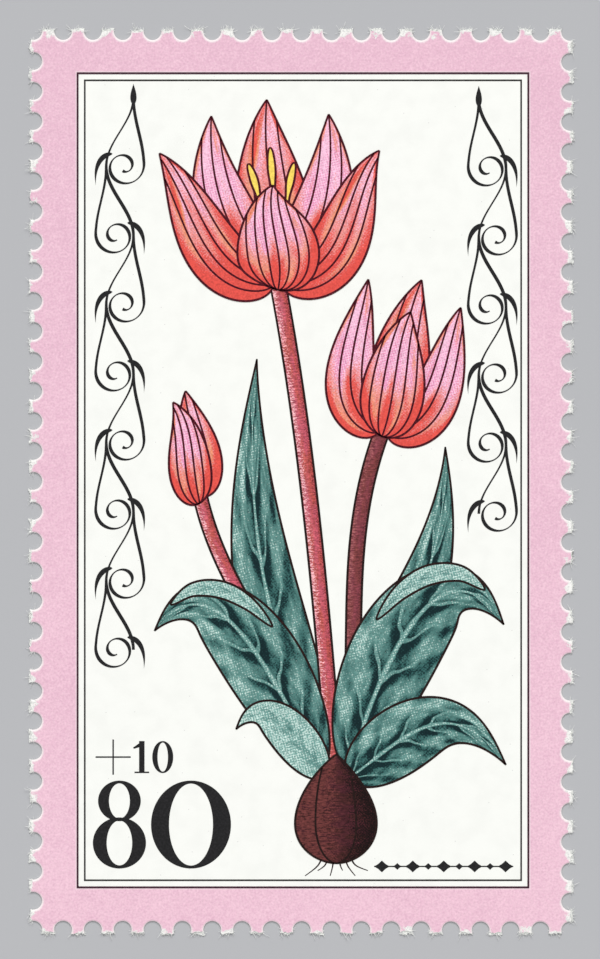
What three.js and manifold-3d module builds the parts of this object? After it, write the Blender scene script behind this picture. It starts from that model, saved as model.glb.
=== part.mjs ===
// A perforated postage stamp, lying face up on its gummed back. Millimetres, +Z up.
// +Y is towards the top of the picture, and the origin is the middle of the gummed back.
// Every printed colour is a thin ink film on the paper, and the black key lines lie on the colours.
import * as THREE from "three";
import { mergeVertices } from "three/addons/utils/BufferGeometryUtils.js";
import Module from "manifold-3d";

const wasm = await Module();
wasm.setup();

// Sheet: its width and height run between the centre lines of the perforation holes.
const SHEET_WIDTH = 25.66;
const SHEET_HEIGHT = 43;
const PITCHES_ACROSS = 18;
const PITCHES_DOWN = 30;
const HOLE_RADIUS = 0.42;
const HOLE_SLANT = 0.0017; // the rows of holes fall by this share of their length, from left to right
const BOTTOM_RISE = 0.06; // the bottom row lies this much closer to the row above it
const PAPER_HOLE_SIDES = 9;
const INK_HOLE_SIDES = 8;
const GUM_HOLE_SIDES = 6;
const TEAR_REACH = 0.08; // a torn tooth ends this far outside the holes' centre line
const TEAR_ROUGHNESS = 0.07;
const TEAR_SEED = 7;
const TOOTH_POINTS = [-0.2, 0.02, 0.21]; // a torn tooth's points, in pitches from its middle

// Layers, from the gummed back up.
const GUM_THICKNESS = 0.012;
const PAPER_THICKNESS = 0.09;
const INK_THICKNESS = 0.01;
const PAPER_TOP = GUM_THICKNESS + PAPER_THICKNESS;
const COLOUR_TOP = PAPER_TOP + INK_THICKNESS;
const KEY_TOP = COLOUR_TOP + INK_THICKNESS;
const FILM_SETBACK = 0.07; // the gum and the border ink stop this far inside the paper's edge

// Print: the frame is two thin lines round the picture, a little off the sheet's middle.
// All that is printed is placed from the print's own middle.
const PRINT_MIDDLE = [0.06, 0.055];
const OUTER_FRAME = [21.535, 38.895];
const OUTER_LINE = 0.09;
const INNER_FRAME = [20.85, 38.22];
const INNER_LINE = 0.078;
const KEY_LINE = 0.1; // width of the black line round each leaf, stem and petal
const CONTOUR_LINE = 0.08; // width of the lines that run along petals
const CONTOUR_END = 0.88; // share of a petal's length where those lines end
const POINTED_END = 1.4; // an outline ends this many times its distance past the blade's end
const LEAF_STEPS = 11;
const PETAL_STEPS = 9;
const STEM_STEPS = 7;
const FOLD_STEPS = 8;
const CONTOUR_STEPS = 5;
const ROOT_STEPS = 3;
const NARROWEST = 0.012; // a blade's outline runs to a point where it is narrower than this
const HALVINGS = 12; // how often the search for that point halves its range
const OVERLAP = 0.01; // the key lines behind a leaf or petal reach this far into its own key line
const SMOOTHING = 0.008; // points closer than this to a straight edge are left out
const SMALLEST_PATCH = 0.04; // a patch of ink smaller than this, in square millimetres, is left out

// Ink and paper finishes.
const finish = (color, roughness) => new THREE.MeshStandardMaterial({ color, roughness, metalness: 0 });
const PAPER = finish(0xfbfcf7, 0.8);
const GUM = finish(0xf3ecd8, 0.35);
const BORDER_PINK = finish(0xf1c5d7, 0.7);
const BLACK = finish(0x2a2a2c, 0.6);
const PETAL_PINK = finish(0xf5accb, 0.65);
const PETAL_CORAL = finish(0xf0645c, 0.65);
const STAMEN_YELLOW = finish(0xfddd65, 0.65);
const LEAF_TEAL = finish(0x5b837f, 0.65);
const LEAF_PALE = finish(0x96beb4, 0.65);
const STEM_RED = finish(0xbc5c5c, 0.65);
const STEM_DARK = finish(0x864244, 0.65);
const BULB_MAROON = finish(0x4a2627, 0.65);

// Solids.

function solidOf(geometry) {
  geometry.deleteAttribute("normal").deleteAttribute("uv");
  const merged = mergeVertices(geometry);
  return new wasm.Manifold(
    new wasm.Mesh({
      numProp: 3,
      vertProperties: merged.attributes.position.array,
      triVerts: new Uint32Array(merged.index.array),
    }),
  );
}

function meshOf(name, solid, material) {
  const { vertProperties, triVerts } = solid.simplify(SMOOTHING).getMesh();
  const geometry = new THREE.BufferGeometry()
    .setAttribute("position", new THREE.BufferAttribute(vertProperties, 3))
    .setIndex(new THREE.BufferAttribute(triVerts, 1));
  geometry.computeVertexNormals();
  const mesh = new THREE.Mesh(geometry, material);
  mesh.name = name;
  return mesh;
}

// A flat film with the given outline, between two heights.
function film(outline, bottom, top) {
  const geometry = new THREE.ExtrudeGeometry(new THREE.Shape(outline), {
    depth: top - bottom,
    bevelEnabled: false,
  });
  return solidOf(geometry.translate(0, 0, bottom));
}

// Printed films: colours lie on the paper, and key lines lie on the colours.
const colourFilm = (outline) => film(outline, PAPER_TOP, COLOUR_TOP);
const keyFilm = (outline) => film(outline, COLOUR_TOP, KEY_TOP);
const cutter = (outline) => film(outline, 0, 1);
const joined = (solids) => wasm.Manifold.union(solids);

// Curves and outlines.

const point = (x, y) => new THREE.Vector2(x, y);
const bezier = (...corners) => new THREE.CubicBezierCurve(...corners.map(([x, y]) => point(x, y)));
const radians = THREE.MathUtils.degToRad;

function rectangle([width, height], [x, y] = [0, 0]) {
  return [
    point(x - width / 2, y - height / 2),
    point(x + width / 2, y - height / 2),
    point(x + width / 2, y + height / 2),
    point(x - width / 2, y + height / 2),
  ];
}

const ellipse = ([x, y], halfWidth, halfHeight, steps) =>
  new THREE.EllipseCurve(x, y, halfWidth, halfHeight).getPoints(steps).slice(0, steps);

// Widths along a blade, as a share of its greatest half width.
function lens(rise, fall) {
  const widest = rise / (rise + fall);
  const greatest = widest ** rise * (1 - widest) ** fall;
  return (s) => (s ** rise * (1 - s) ** fall) / greatest;
}
const PETAL = lens(0.5, 0.95);
const LEAF = lens(0.6, 1.15);
const FOLD = lens(0.9, 0.9);
const BULB = lens(0.55, 0.9);
const STEM = () => 1;
const STAMEN = (s) => Math.sqrt(1 - s ** 8) * (0.45 + 0.55 * THREE.MathUtils.smoothstep(s, 0.5, 0.8));

// Places along a blade: evenly spaced, or closer together towards its two ends.
const evenShares = (steps) => Array.from({ length: steps + 1 }, (_, i) => i / steps);
const easedShares = (steps) => evenShares(steps).map((share) => (1 - Math.cos(Math.PI * share)) / 2);

// A blade is a leaf, petal, stem or pen stroke: a midrib curve with a half width along it.
// A point on it is given by the share s of its length and a distance to the left of its midrib.
class Blade {
  constructor(midrib, greatest, profile, shares = easedShares(PETAL_STEPS)) {
    this.midrib = midrib;
    this.halfWidth = (s) => greatest * profile(s);
    this.shares = shares;
  }

  at(s, left) {
    const tangent = this.midrib.getTangent(s);
    return this.midrib.getPoint(s).add(point(-tangent.y, tangent.x).multiplyScalar(left));
  }

  // The outline at a distance outside the blade's edge, or inside it where the distance is negative.
  outline(distance = 0) {
    const kept = this.shares.filter((s) => this.halfWidth(s) + distance > NARROWEST);
    const left = kept.map((s) => this.at(s, this.halfWidth(s) + distance));
    const right = kept.map((s) => this.at(s, -this.halfWidth(s) - distance));
    const [root, tip] = [this.end(kept[0], -1, distance), this.end(kept.at(-1), 1, distance)];
    return [...root, ...right, ...tip, ...left.reverse()];
  }

  // The point that closes an outline: past a blunt end, or where the blade narrows to nothing.
  end(share, direction, distance) {
    const next = this.shares[this.shares.indexOf(share) + direction];
    if (next !== undefined) return [this.midrib.getPoint(this.narrowing(share, next, distance))];
    if (distance <= 0) return [];
    const reach = POINTED_END * direction * distance;
    const beyond = this.midrib.getTangent(share).multiplyScalar(reach);
    return [this.midrib.getPoint(share).add(beyond)];
  }

  // The share at which an outline's two sides meet, between a wide and a narrow place, by halving.
  narrowing(wide, narrow, distance) {
    let [inside, outside] = [wide, narrow];
    for (let i = 0; i < HALVINGS; i++) {
      const middle = (inside + outside) / 2;
      if (this.halfWidth(middle) + distance > 0) inside = middle;
      else outside = middle;
    }
    return inside;
  }

  // A line that runs along the blade from its root, at a share u of its half width.
  contour(u, end, width) {
    const shares = evenShares(CONTOUR_STEPS).map((share) => share * end);
    const side = (offset) => shares.map((s) => this.at(s, u * this.halfWidth(s) + offset));
    return [...side(-width / 2), ...side(width / 2).reverse()];
  }
}

// Random numbers that are the same on every run.
function seeded(seed) {
  let state = seed;
  return () => {
    state = (state * 1664525 + 1013904223) % 4294967296;
    return state / 4294967296;
  };
}

// Sheet.

// The torn edge before the holes are cut: rough points across each tooth, all the way round.
function tornOutline() {
  const random = seeded(TEAR_SEED);
  const corners = rectangle([SHEET_WIDTH, SHEET_HEIGHT]);
  return corners.flatMap((corner, side) => {
    const pitches = side % 2 ? PITCHES_DOWN : PITCHES_ACROSS;
    const along = corners[(side + 1) % 4].clone().sub(corner).divideScalar(pitches);
    const outward = point(along.y, -along.x).normalize();
    const teeth = Array.from({ length: pitches }, (_, tooth) =>
      TOOTH_POINTS.map((offset) =>
        corner
          .clone()
          .addScaledVector(along, tooth + 0.5 + offset)
          .addScaledVector(outward, TEAR_REACH + TEAR_ROUGHNESS * random()),
      ),
    );
    return teeth.flat();
  });
}

// One hole at each pitch along the four sides, the corners included.
function perforation(radius, sides) {
  const holes = [];
  for (let i = 0; i <= PITCHES_ACROSS; i++)
    for (let j = 0; j <= PITCHES_DOWN; j++) {
      if (i % PITCHES_ACROSS && j % PITCHES_DOWN) continue;
      const x = (i / PITCHES_ACROSS - 0.5) * SHEET_WIDTH;
      const y = (j / PITCHES_DOWN - 0.5) * SHEET_HEIGHT + (j ? 0 : BOTTOM_RISE);
      holes.push(cutter(ellipse([x, y - HOLE_SLANT * x], radius, radius, sides)));
    }
  return joined(holes);
}

function sheetMeshes() {
  const paper = film(tornOutline(), GUM_THICKNESS, PAPER_TOP);
  const beyond = 2 * (TEAR_REACH - FILM_SETBACK);
  const filmOutline = rectangle([SHEET_WIDTH + beyond, SHEET_HEIGHT + beyond]);
  const holes = (grow, sides) => perforation(HOLE_RADIUS + grow, sides);
  const gum = film(filmOutline, 0, GUM_THICKNESS).subtract(holes(FILM_SETBACK, GUM_HOLE_SIDES));
  const window = cutter(rectangle(OUTER_FRAME.map((side) => side - OUTER_LINE), PRINT_MIDDLE));
  const border = colourFilm(filmOutline).subtract(holes(FILM_SETBACK, INK_HOLE_SIDES)).subtract(window);
  return [
    meshOf("gum_film", gum, GUM),
    meshOf("paper_sheet", paper.subtract(holes(0, PAPER_HOLE_SIDES)), PAPER),
    meshOf("border_ink", border, BORDER_PINK),
  ];
}

// Frame lines: the outer one lies on the border ink's edge, and the inner one on bare paper.
function frameLineMeshes() {
  const line = (frame, width, makeFilm) => {
    const [outside, inside] = [width, -width].map((grow) => rectangle(frame.map((side) => side + grow)));
    return makeFilm(outside).subtract(cutter(inside));
  };
  return [
    meshOf("frame_line_outer", line(OUTER_FRAME, OUTER_LINE, keyFilm), BLACK),
    meshOf("frame_line_inner", line(INNER_FRAME, INNER_LINE, colourFilm), BLACK),
  ];
}

// Picture: tulips with lance leaves growing from a bulb, drawn from the back to the front.

const FOLD_PLACE = 0.74; // a fold lies this far out, as a share of its leaf's half width
const FOLD_WIDTH = 0.3; // its half width, as a share of its leaf's
const FOLD_POINTS = 4; // how many stretches its midrib's places divide its length into
const STAMEN_WIDTH = 0.2;

const leaf = (name, ink, width, ...midrib) => ({
  name,
  ink,
  blade: new Blade(bezier(...midrib), width, LEAF, easedShares(LEAF_STEPS)),
  contours: [],
});
const stem = (name, ink, width, ...midrib) => ({
  name,
  ink,
  blade: new Blade(bezier(...midrib), width, STEM, evenShares(STEM_STEPS)),
  contours: [],
});

// A leaf's edge that is folded over, so that its pale back shows.
function fold(name, { blade }, from, to, side) {
  const places = evenShares(FOLD_POINTS).map((share) => THREE.MathUtils.lerp(from, to, share));
  const points = places.map((s) => blade.at(s, side * FOLD_PLACE * blade.halfWidth(s)));
  const width = FOLD_WIDTH * blade.halfWidth((from + to) / 2);
  return {
    name,
    ink: LEAF_PALE,
    blade: new Blade(new THREE.SplineCurve(points), width, FOLD, easedShares(FOLD_STEPS)),
    contours: [],
  };
}

// A flower's parts are drawn upright round the end of its stem, then turned and moved there.
function flower(name, [x, y], turn, parts) {
  const base = point(x, y);
  const placed = ([dx, dy]) => point(dx, dy).rotateAround(point(0, 0), radians(turn)).add(base).toArray();
  return parts.map(({ part, ink, width, profile, contours, midrib }) => ({
    name: `${name}_${part}`,
    ink,
    blade: new Blade(bezier(...midrib.map(placed)), width, profile),
    contours,
  }));
}
const petal = (part, ink, width, contours, ...midrib) => ({
  part,
  ink,
  width,
  contours,
  midrib,
  profile: PETAL,
});
const stamen = (part, ...midrib) => ({
  part,
  midrib,
  ink: STAMEN_YELLOW,
  width: STAMEN_WIDTH,
  contours: [],
  profile: STAMEN,
});

const LEFT_LEAF = leaf("leaf_left", LEAF_TEAL, 1.9, [0.9, -13.9], [-2, -8.2], [-4.4, -3.6], [-7.1, -7.2]);
const RIGHT_LEAF = leaf("leaf_right", LEAF_TEAL, 2.1, [2.2, -13.9], [4, -7.6], [6.9, -2.6], [9.6, -6.9]);

const PICTURE = [
  leaf("leaf_tall_left", LEAF_TEAL, 1.6, [1.1, -13.6], [-1.6, -8], [-3, -2], [-2.2, 5.8]),
  leaf("leaf_tall_right", LEAF_TEAL, 1.5, [1.9, -13.6], [3.8, -8.5], [7, -5], [6.8, 1.6]),
  stem("stem_right", STEM_DARK, 0.36, [1.9, -13.8], [3, -8.6], [1.6, -3.4], [3.8, 2.4]),
  stem("stem_left", STEM_RED, 0.33, [1.2, -13.8], [-0.6, -8.4], [-3.8, -5.6], [-4.9, -0.8]),
  stem("stem_middle", STEM_RED, 0.37, [1.5, -13.8], [0.9, -6], [0.2, 2], [-1.2, 9.4]),
  LEFT_LEAF,
  fold("leaf_left_fold", LEFT_LEAF, 0.42, 0.88, -1),
  RIGHT_LEAF,
  fold("leaf_right_fold", RIGHT_LEAF, 0.4, 0.86, 1),
  leaf("leaf_low_right", LEAF_TEAL, 1.6, [2.1, -14.3], [4.6, -12.6], [6.9, -9.6], [9.7, -13.6]),
  leaf("leaf_low_left", LEAF_PALE, 1.05, [1.1, -14.2], [-0.3, -12.6], [-1.8, -9.8], [-3.2, -11.9]),
  {
    name: "bulb",
    ink: BULB_MAROON,
    blade: new Blade(bezier([1.6, -18.3], [1.6, -16.6], [1.5, -15], [1.6, -13.1]), 1.95, BULB),
    contours: [-0.5, 0.5],
  },
  ...flower("bloom_open", [-1.2, 9.2], 4, [
    petal("petal_back_middle", PETAL_CORAL, 1.8, [], [0, 0.8], [0.3, 3], [-0.4, 6], [0.1, 9]),
    petal("petal_back_left", PETAL_PINK, 1.5, [0], [-0.5, 0.8], [-2.2, 2.4], [-3, 5.2], [-2.6, 8.4]),
    petal("petal_back_right", PETAL_PINK, 1.5, [0], [0.5, 0.8], [2.4, 2.2], [3.1, 5], [3, 8.1]),
    stamen("stamen_left", [-0.4, 2.4], [-0.5, 3.6], [-0.6, 4.8], [-1, 6]),
    stamen("stamen_right", [0.5, 2.4], [0.6, 3.6], [0.8, 4.7], [1.2, 5.9]),
    stamen("stamen_middle", [0.1, 2.4], [0.1, 3.8], [0.1, 5.2], [0.1, 6.7]),
    petal("petal_left", PETAL_CORAL, 1.4, [0], [-0.2, 0.2], [-3.6, 0.6], [-3.5, 4.4], [-5.2, 6.8]),
    petal("petal_right", PETAL_CORAL, 1.4, [0], [0.2, 0.2], [3.8, 0.3], [3.4, 4.2], [5.3, 6.2]),
    petal("petal_front", PETAL_PINK, 1.95, [-0.5, 0, 0.5], [0, -0.1], [0.5, 1.6], [-0.4, 3.3], [0.1, 4.9]),
  ]),
  ...flower("bloom_side", [3.8, 2.2], -12, [
    petal("petal_back", PETAL_CORAL, 1.45, [], [0, 0.5], [0.4, 2.6], [-0.2, 5], [0.3, 7.6]),
    petal("petal_left", PETAL_PINK, 1.2, [0], [-0.2, 0.1], [-2.8, 0.9], [-2.1, 4.2], [-2.2, 7.1]),
    petal("petal_right", PETAL_PINK, 1.2, [0], [0.2, 0.1], [2.8, 0.8], [2.1, 4.2], [2.4, 6.7]),
    petal("petal_front", PETAL_PINK, 1.5, [-0.5, 0, 0.5], [0, -0.1], [0.3, 1.8], [-0.3, 4], [0.1, 6]),
  ]),
  ...flower("bud", [-4.9, -1], 12, [
    petal("petal_back", PETAL_CORAL, 1, [], [0.1, 0.2], [0.7, 1.8], [0.3, 3.6], [0.4, 5.3]),
    petal("petal_front", PETAL_PINK, 1, [-0.35, 0.35], [-0.1, -0.1], [-0.5, 1.4], [0.4, 3.2], [-0.3, 4.9]),
  ]),
];

// The bulb's roots spread from its foot, every other one a little shorter.
const ROOTS = { count: 6, halfWidth: 0.045, middle: 1.6, shorter: 0.25 };
const ROOT_START = { spread: 1.2, height: -17.7 };
const ROOT_BEND = { spread: 1.6, height: -18.4 };
const ROOT_END = { spread: 3, height: -18.9 };

function rootLines() {
  return evenShares(ROOTS.count - 1).map((share, i) => {
    const at = ({ spread, height }, raised = 0) => [ROOTS.middle + spread * (share - 0.5), height + raised];
    const bend = at(ROOT_BEND);
    const midrib = bezier(at(ROOT_START), bend, bend, at(ROOT_END, ROOTS.shorter * (i % 2)));
    return keyFilm(new Blade(midrib, ROOTS.halfWidth, STEM, evenShares(ROOT_STEPS)).outline());
  });
}

function pictureMeshes() {
  const half = KEY_LINE / 2;
  const patches = [];
  let keyLine = joined(rootLines());
  for (const { name, ink, blade, contours } of PICTURE) {
    const hidden = cutter(blade.outline(half));
    for (const patch of patches) patch.solid = patch.solid.subtract(hidden);
    patches.push({ name, ink, solid: colourFilm(blade.outline(half)) });
    const ring = keyFilm(blade.outline(half)).subtract(cutter(blade.outline(-half)));
    const lines = contours.map((u) => keyFilm(blade.contour(u, CONTOUR_END, CONTOUR_LINE)));
    keyLine = joined([keyLine.subtract(cutter(blade.outline(half - OVERLAP))), ring, ...lines]);
  }
  return [...patches, { name: "picture_key_line", ink: BLACK, solid: keyLine }].flatMap(bodyMeshes);
}

// A patch that others cut apart is one mesh for each body that is left of it.
function bodyMeshes({ name, ink, solid }) {
  const bodies = solid
    .decompose()
    .filter((body) => body.volume() > SMALLEST_PATCH * INK_THICKNESS)
    .sort((a, b) => b.volume() - a.volume());
  const nameOf = (i) => (bodies.length > 1 ? `${name}_${i + 1}` : name);
  return bodies.map((body, i) => meshOf(nameOf(i), body, ink));
}

// Ornaments: pen scrolls up both sides and a row of lozenges under the picture.

const PEN_HALF_WIDTH = 0.085;
const PEN_THIN = 0.34; // share of the full width that the pen's thinnest line has
const PEN_ANGLE = radians(35);
const PEN_DIRECTION = point(Math.cos(PEN_ANGLE), Math.sin(PEN_ANGLE));
const HALF_WAVE = 3.3; // height of half a wave of a scroll's stem
const WAVE_REACH = 0.65; // how far its crests lie from its middle
const CURL = { radius: 0.95, inner: 0.22, turns: 1.3, offset: 0.2, pull: 1.2 };
const SMALL_LEAF = { halfWidth: 0.12, midrib: [[-0.3, 0.6], [0.2, 0.6], [0.6, 0.1], [0.5, -0.9]] };
const FINIAL = { halfWidth: 0.15, midrib: [[0, -0.35], [0, 0], [0, 0.3], [0, 0.65]] };
const WAVE_STEPS = 4; // in each half wave
const CURL_STEPS = 8;
const LEAD_STEPS = 3; // in the line from the stem to a curl
const SMALL_LEAF_STEPS = 4;

// A broad pen draws thin along its own edge and thick across it.
function stroke(points) {
  const midrib = new THREE.SplineCurve(points);
  const slant = (s) => midrib.getTangent(s).cross(PEN_DIRECTION) ** 2;
  const width = (s) => PEN_THIN + (1 - PEN_THIN) * slant(s);
  return new Blade(midrib, PEN_HALF_WIDTH, width, evenShares(points.length - 1));
}

// A waving stem that runs down from its top, with a curl in each hollow and a small leaf on each crest.
function scroll(name, middle, top, halfWaves, firstSide) {
  const sideOf = (i) => (i % 2 ? -firstSide : firstSide);
  const stemAt = (wave) =>
    point(middle + WAVE_REACH * firstSide * Math.cos(Math.PI * wave), top - HALF_WAVE * wave);

  // A curl leaves the stem at the crest above it, and winds in round a point in the hollow.
  const curl = (i) => {
    const side = sideOf(i);
    const hollow = point(middle - CURL.offset * side, stemAt(i).y);
    const winding = evenShares(CURL_STEPS).map((share) => {
      const turn = share * CURL.turns * 2 * Math.PI;
      const radius = THREE.MathUtils.lerp(CURL.radius, CURL.inner, share);
      return point(-side * Math.cos(turn), -Math.sin(turn)).multiplyScalar(radius).add(hollow);
    });
    const start = stemAt(i - 1);
    const join = winding[0];
    const lead = bezier(
      start.toArray(),
      [start.x, start.y - CURL.pull],
      [join.x, join.y + CURL.pull],
      join.toArray(),
    );
    return stroke([...lead.getPoints(LEAD_STEPS), ...winding.slice(1)]);
  };

  const leafBlade = ({ halfWidth, midrib }, i) => {
    const places = midrib.map(([out, up]) => [stemAt(i).x + sideOf(i) * out, stemAt(i).y + up]);
    return new Blade(bezier(...places), halfWidth, LEAF, easedShares(SMALL_LEAF_STEPS));
  };

  const stemPoints = evenShares(WAVE_STEPS * halfWaves).map((share) => stemAt(share * halfWaves));
  const blades = [stroke(stemPoints), leafBlade(FINIAL, 0)];
  for (let i = 1; i <= halfWaves; i++) blades.push(curl(i), leafBlade(SMALL_LEAF, i));
  return { name, ink: BLACK, solid: joined(blades.map((blade) => colourFilm(blade.outline()))) };
}

// A thin rule with lozenges on it, small ones between larger ones.
const RULE = { left: 3.4, right: 10.05, height: -18.45, line: 0.06 };
const LOZENGES = { count: 9, large: 0.28, small: 0.16, wideness: 1.3, corners: 4 };

function lozengeRule() {
  const width = RULE.right - RULE.left;
  const lozenges = Array.from({ length: LOZENGES.count }, (_, i) => {
    const reach = i % 2 ? LOZENGES.small : LOZENGES.large;
    const x = RULE.left + ((i + 0.5) * width) / LOZENGES.count;
    return colourFilm(ellipse([x, RULE.height], LOZENGES.wideness * reach, reach, LOZENGES.corners));
  });
  const rule = colourFilm(rectangle([width, RULE.line], [RULE.left + width / 2, RULE.height]));
  return { name: "ornament_rule", ink: BLACK, solid: joined([rule, ...lozenges]) };
}

// Numerals: each is thick down its sides and thin across, with flat thin feet.
// A round's reach is half its width and half its height, and it stands on the foot of its numeral.
const LARGE = { height: 4.2, foot: -18.55 };
const SMALL = { height: 1.53, foot: -13.99 };
const THIN = 0.07; // width of the thinnest part of a small numeral
const ROUND_SIDES = { outside: 24, inside: 20 };
const EIGHT_LOWER = { x: -8.77, above: 0, reach: [1.27, 1.22], side: 0.66, thin: 0.15 };
const EIGHT_UPPER = { x: -8.77, above: 2.26, reach: [1.02, 0.97], side: 0.52, thin: 0.13 };
const LARGE_NOUGHT = { x: -5.35, above: 0, reach: [1.91, LARGE.height / 2], side: 0.86, thin: 0.14 };
const SMALL_NOUGHT = { x: -6.7, above: 0, reach: [0.5, SMALL.height / 2], side: 0.25, thin: THIN };
const ONE = { x: -7.7, stem: 0.26, foot: 0.7, flag: 0.4, flagTop: 1.53, flagTip: 1.2, flagEnd: 0.08 };
const PLUS = { x: -9.07, size: 1.68 };

function round({ x, above, reach: [halfWidth, halfHeight], side, thin }, { foot }) {
  const middle = [x, foot + above + halfHeight];
  const inside = cutter(ellipse(middle, halfWidth - side, halfHeight - thin, ROUND_SIDES.inside));
  return colourFilm(ellipse(middle, halfWidth, halfHeight, ROUND_SIDES.outside)).subtract(inside);
}

// The one's stem, thin foot and flag, which points down to its left.
function one() {
  const { foot, height } = SMALL;
  const right = ONE.x + THIN;
  const flag = [
    point(right, foot + ONE.flagTop),
    point(ONE.x - ONE.flagEnd, foot + ONE.flagTop),
    point(ONE.x - ONE.flag, foot + ONE.flagTip + ONE.flagEnd),
    point(ONE.x - ONE.flag, foot + ONE.flagTip),
    point(right, foot + ONE.flagTip + 2 * ONE.flagEnd),
  ];
  return joined([
    colourFilm(rectangle([ONE.stem, height], [ONE.x, foot + height / 2])),
    colourFilm(rectangle([ONE.foot, THIN], [ONE.x, foot + THIN / 2])),
    colourFilm(flag),
  ]);
}

function eight() {
  return joined([EIGHT_LOWER, EIGHT_UPPER].map((half) => round(half, LARGE)));
}

function plus() {
  const middle = [PLUS.x, SMALL.foot + SMALL.height / 2];
  return joined([
    colourFilm(rectangle([PLUS.size, THIN], middle)),
    colourFilm(rectangle([THIN, PLUS.size], middle)),
  ]);
}

function numerals() {
  return [
    { name: "value_eight", ink: BLACK, solid: eight() },
    { name: "value_nought", ink: BLACK, solid: round(LARGE_NOUGHT, LARGE) },
    { name: "addition_plus", ink: BLACK, solid: plus() },
    { name: "addition_one", ink: BLACK, solid: one() },
    { name: "addition_nought", ink: BLACK, solid: round(SMALL_NOUGHT, SMALL) },
  ];
}

const stamp = new THREE.Group();
stamp.add(...sheetMeshes());

const print = new THREE.Group();
print.position.set(...PRINT_MIDDLE, 0);
print.add(...frameLineMeshes(), ...pictureMeshes());
const ornaments = [
  scroll("scroll_left", -8.75, 18.3, 8, 1),
  scroll("scroll_right", 9.05, 18.2, 6, -1),
  lozengeRule(),
  ...numerals(),
];
print.add(...ornaments.map(({ name, ink, solid }) => meshOf(name, solid, ink)));
stamp.add(print);

export default stamp;
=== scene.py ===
"""A perforated postage stamp with a flower picture, dressed for rendering.

The sheet lies face up on its gummed back, with +Y towards the top of the picture. Pieces are drawn in
millimetres and scaled to metres about the origin when they are finished. Colours are given as the
0 to 255 values that a screen shows.
"""

import logging
import math
import random
from collections.abc import Callable, Iterable, Iterator, Mapping, Sequence
from contextlib import contextmanager
from dataclasses import dataclass
from enum import Enum
from functools import cache
from typing import Any, Union

import bpy
from bpy.types import Material, Node, NodeSocket, Object
from mathutils import Matrix, Vector


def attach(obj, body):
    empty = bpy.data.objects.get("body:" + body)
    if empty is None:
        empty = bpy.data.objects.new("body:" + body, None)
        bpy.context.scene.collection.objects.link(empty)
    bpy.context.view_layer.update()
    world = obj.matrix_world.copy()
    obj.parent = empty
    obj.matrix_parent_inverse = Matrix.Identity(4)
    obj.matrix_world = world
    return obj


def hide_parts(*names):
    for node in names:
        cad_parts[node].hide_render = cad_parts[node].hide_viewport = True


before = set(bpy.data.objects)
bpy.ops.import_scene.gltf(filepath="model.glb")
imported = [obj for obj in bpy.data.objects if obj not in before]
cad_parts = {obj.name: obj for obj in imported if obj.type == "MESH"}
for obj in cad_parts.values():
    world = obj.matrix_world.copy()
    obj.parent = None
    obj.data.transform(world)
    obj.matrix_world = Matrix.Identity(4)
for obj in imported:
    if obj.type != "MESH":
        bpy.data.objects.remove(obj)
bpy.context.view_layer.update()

LOG = logging.getLogger("stamp")
METRES = 0.001

Point = tuple[float, float]
Colour = tuple[float, float, float]

# Heights above the surface that the stamp lies on.
GUM_TOP = 0.012
PAPER_TOP = 0.102
BORDER_TOP = 0.107
ORNAMENT_TOP = 0.109
PICTURE_BASE = 0.1  # where the printed pieces start, a little way down in the paper
LAYER_STEP = 0.0006  # each fill or line of the picture lies this far above the one before
SAME_PLACE = 0.0001  # corners of a cut or merged piece that are closer than this become one
POINTED_END = 0.001  # corners at a strip's pointed end that are closer than this become one
TANGENT_STEP = 1e-4  # how far before and after a place a curve's direction is taken, as a share

# The print is a little off the sheet's middle.
PRINT_MIDDLE = (0.06, 0.055)
OUTER_FRAME = (21.535, 38.895)
SHEET_SIZE = (25.66, 43.0)  # between the centre lines of the holes
PITCHES = (18, 30)
HOLE_RADIUS = 0.42
HOLE_SLANT = 0.0017  # the rows of holes fall by this share of their length, from left to right
BOTTOM_RISE = 0.06  # the bottom row lies this much closer to the row above it
ROOT_BODY = "root"


# Shader values and materials.


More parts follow.
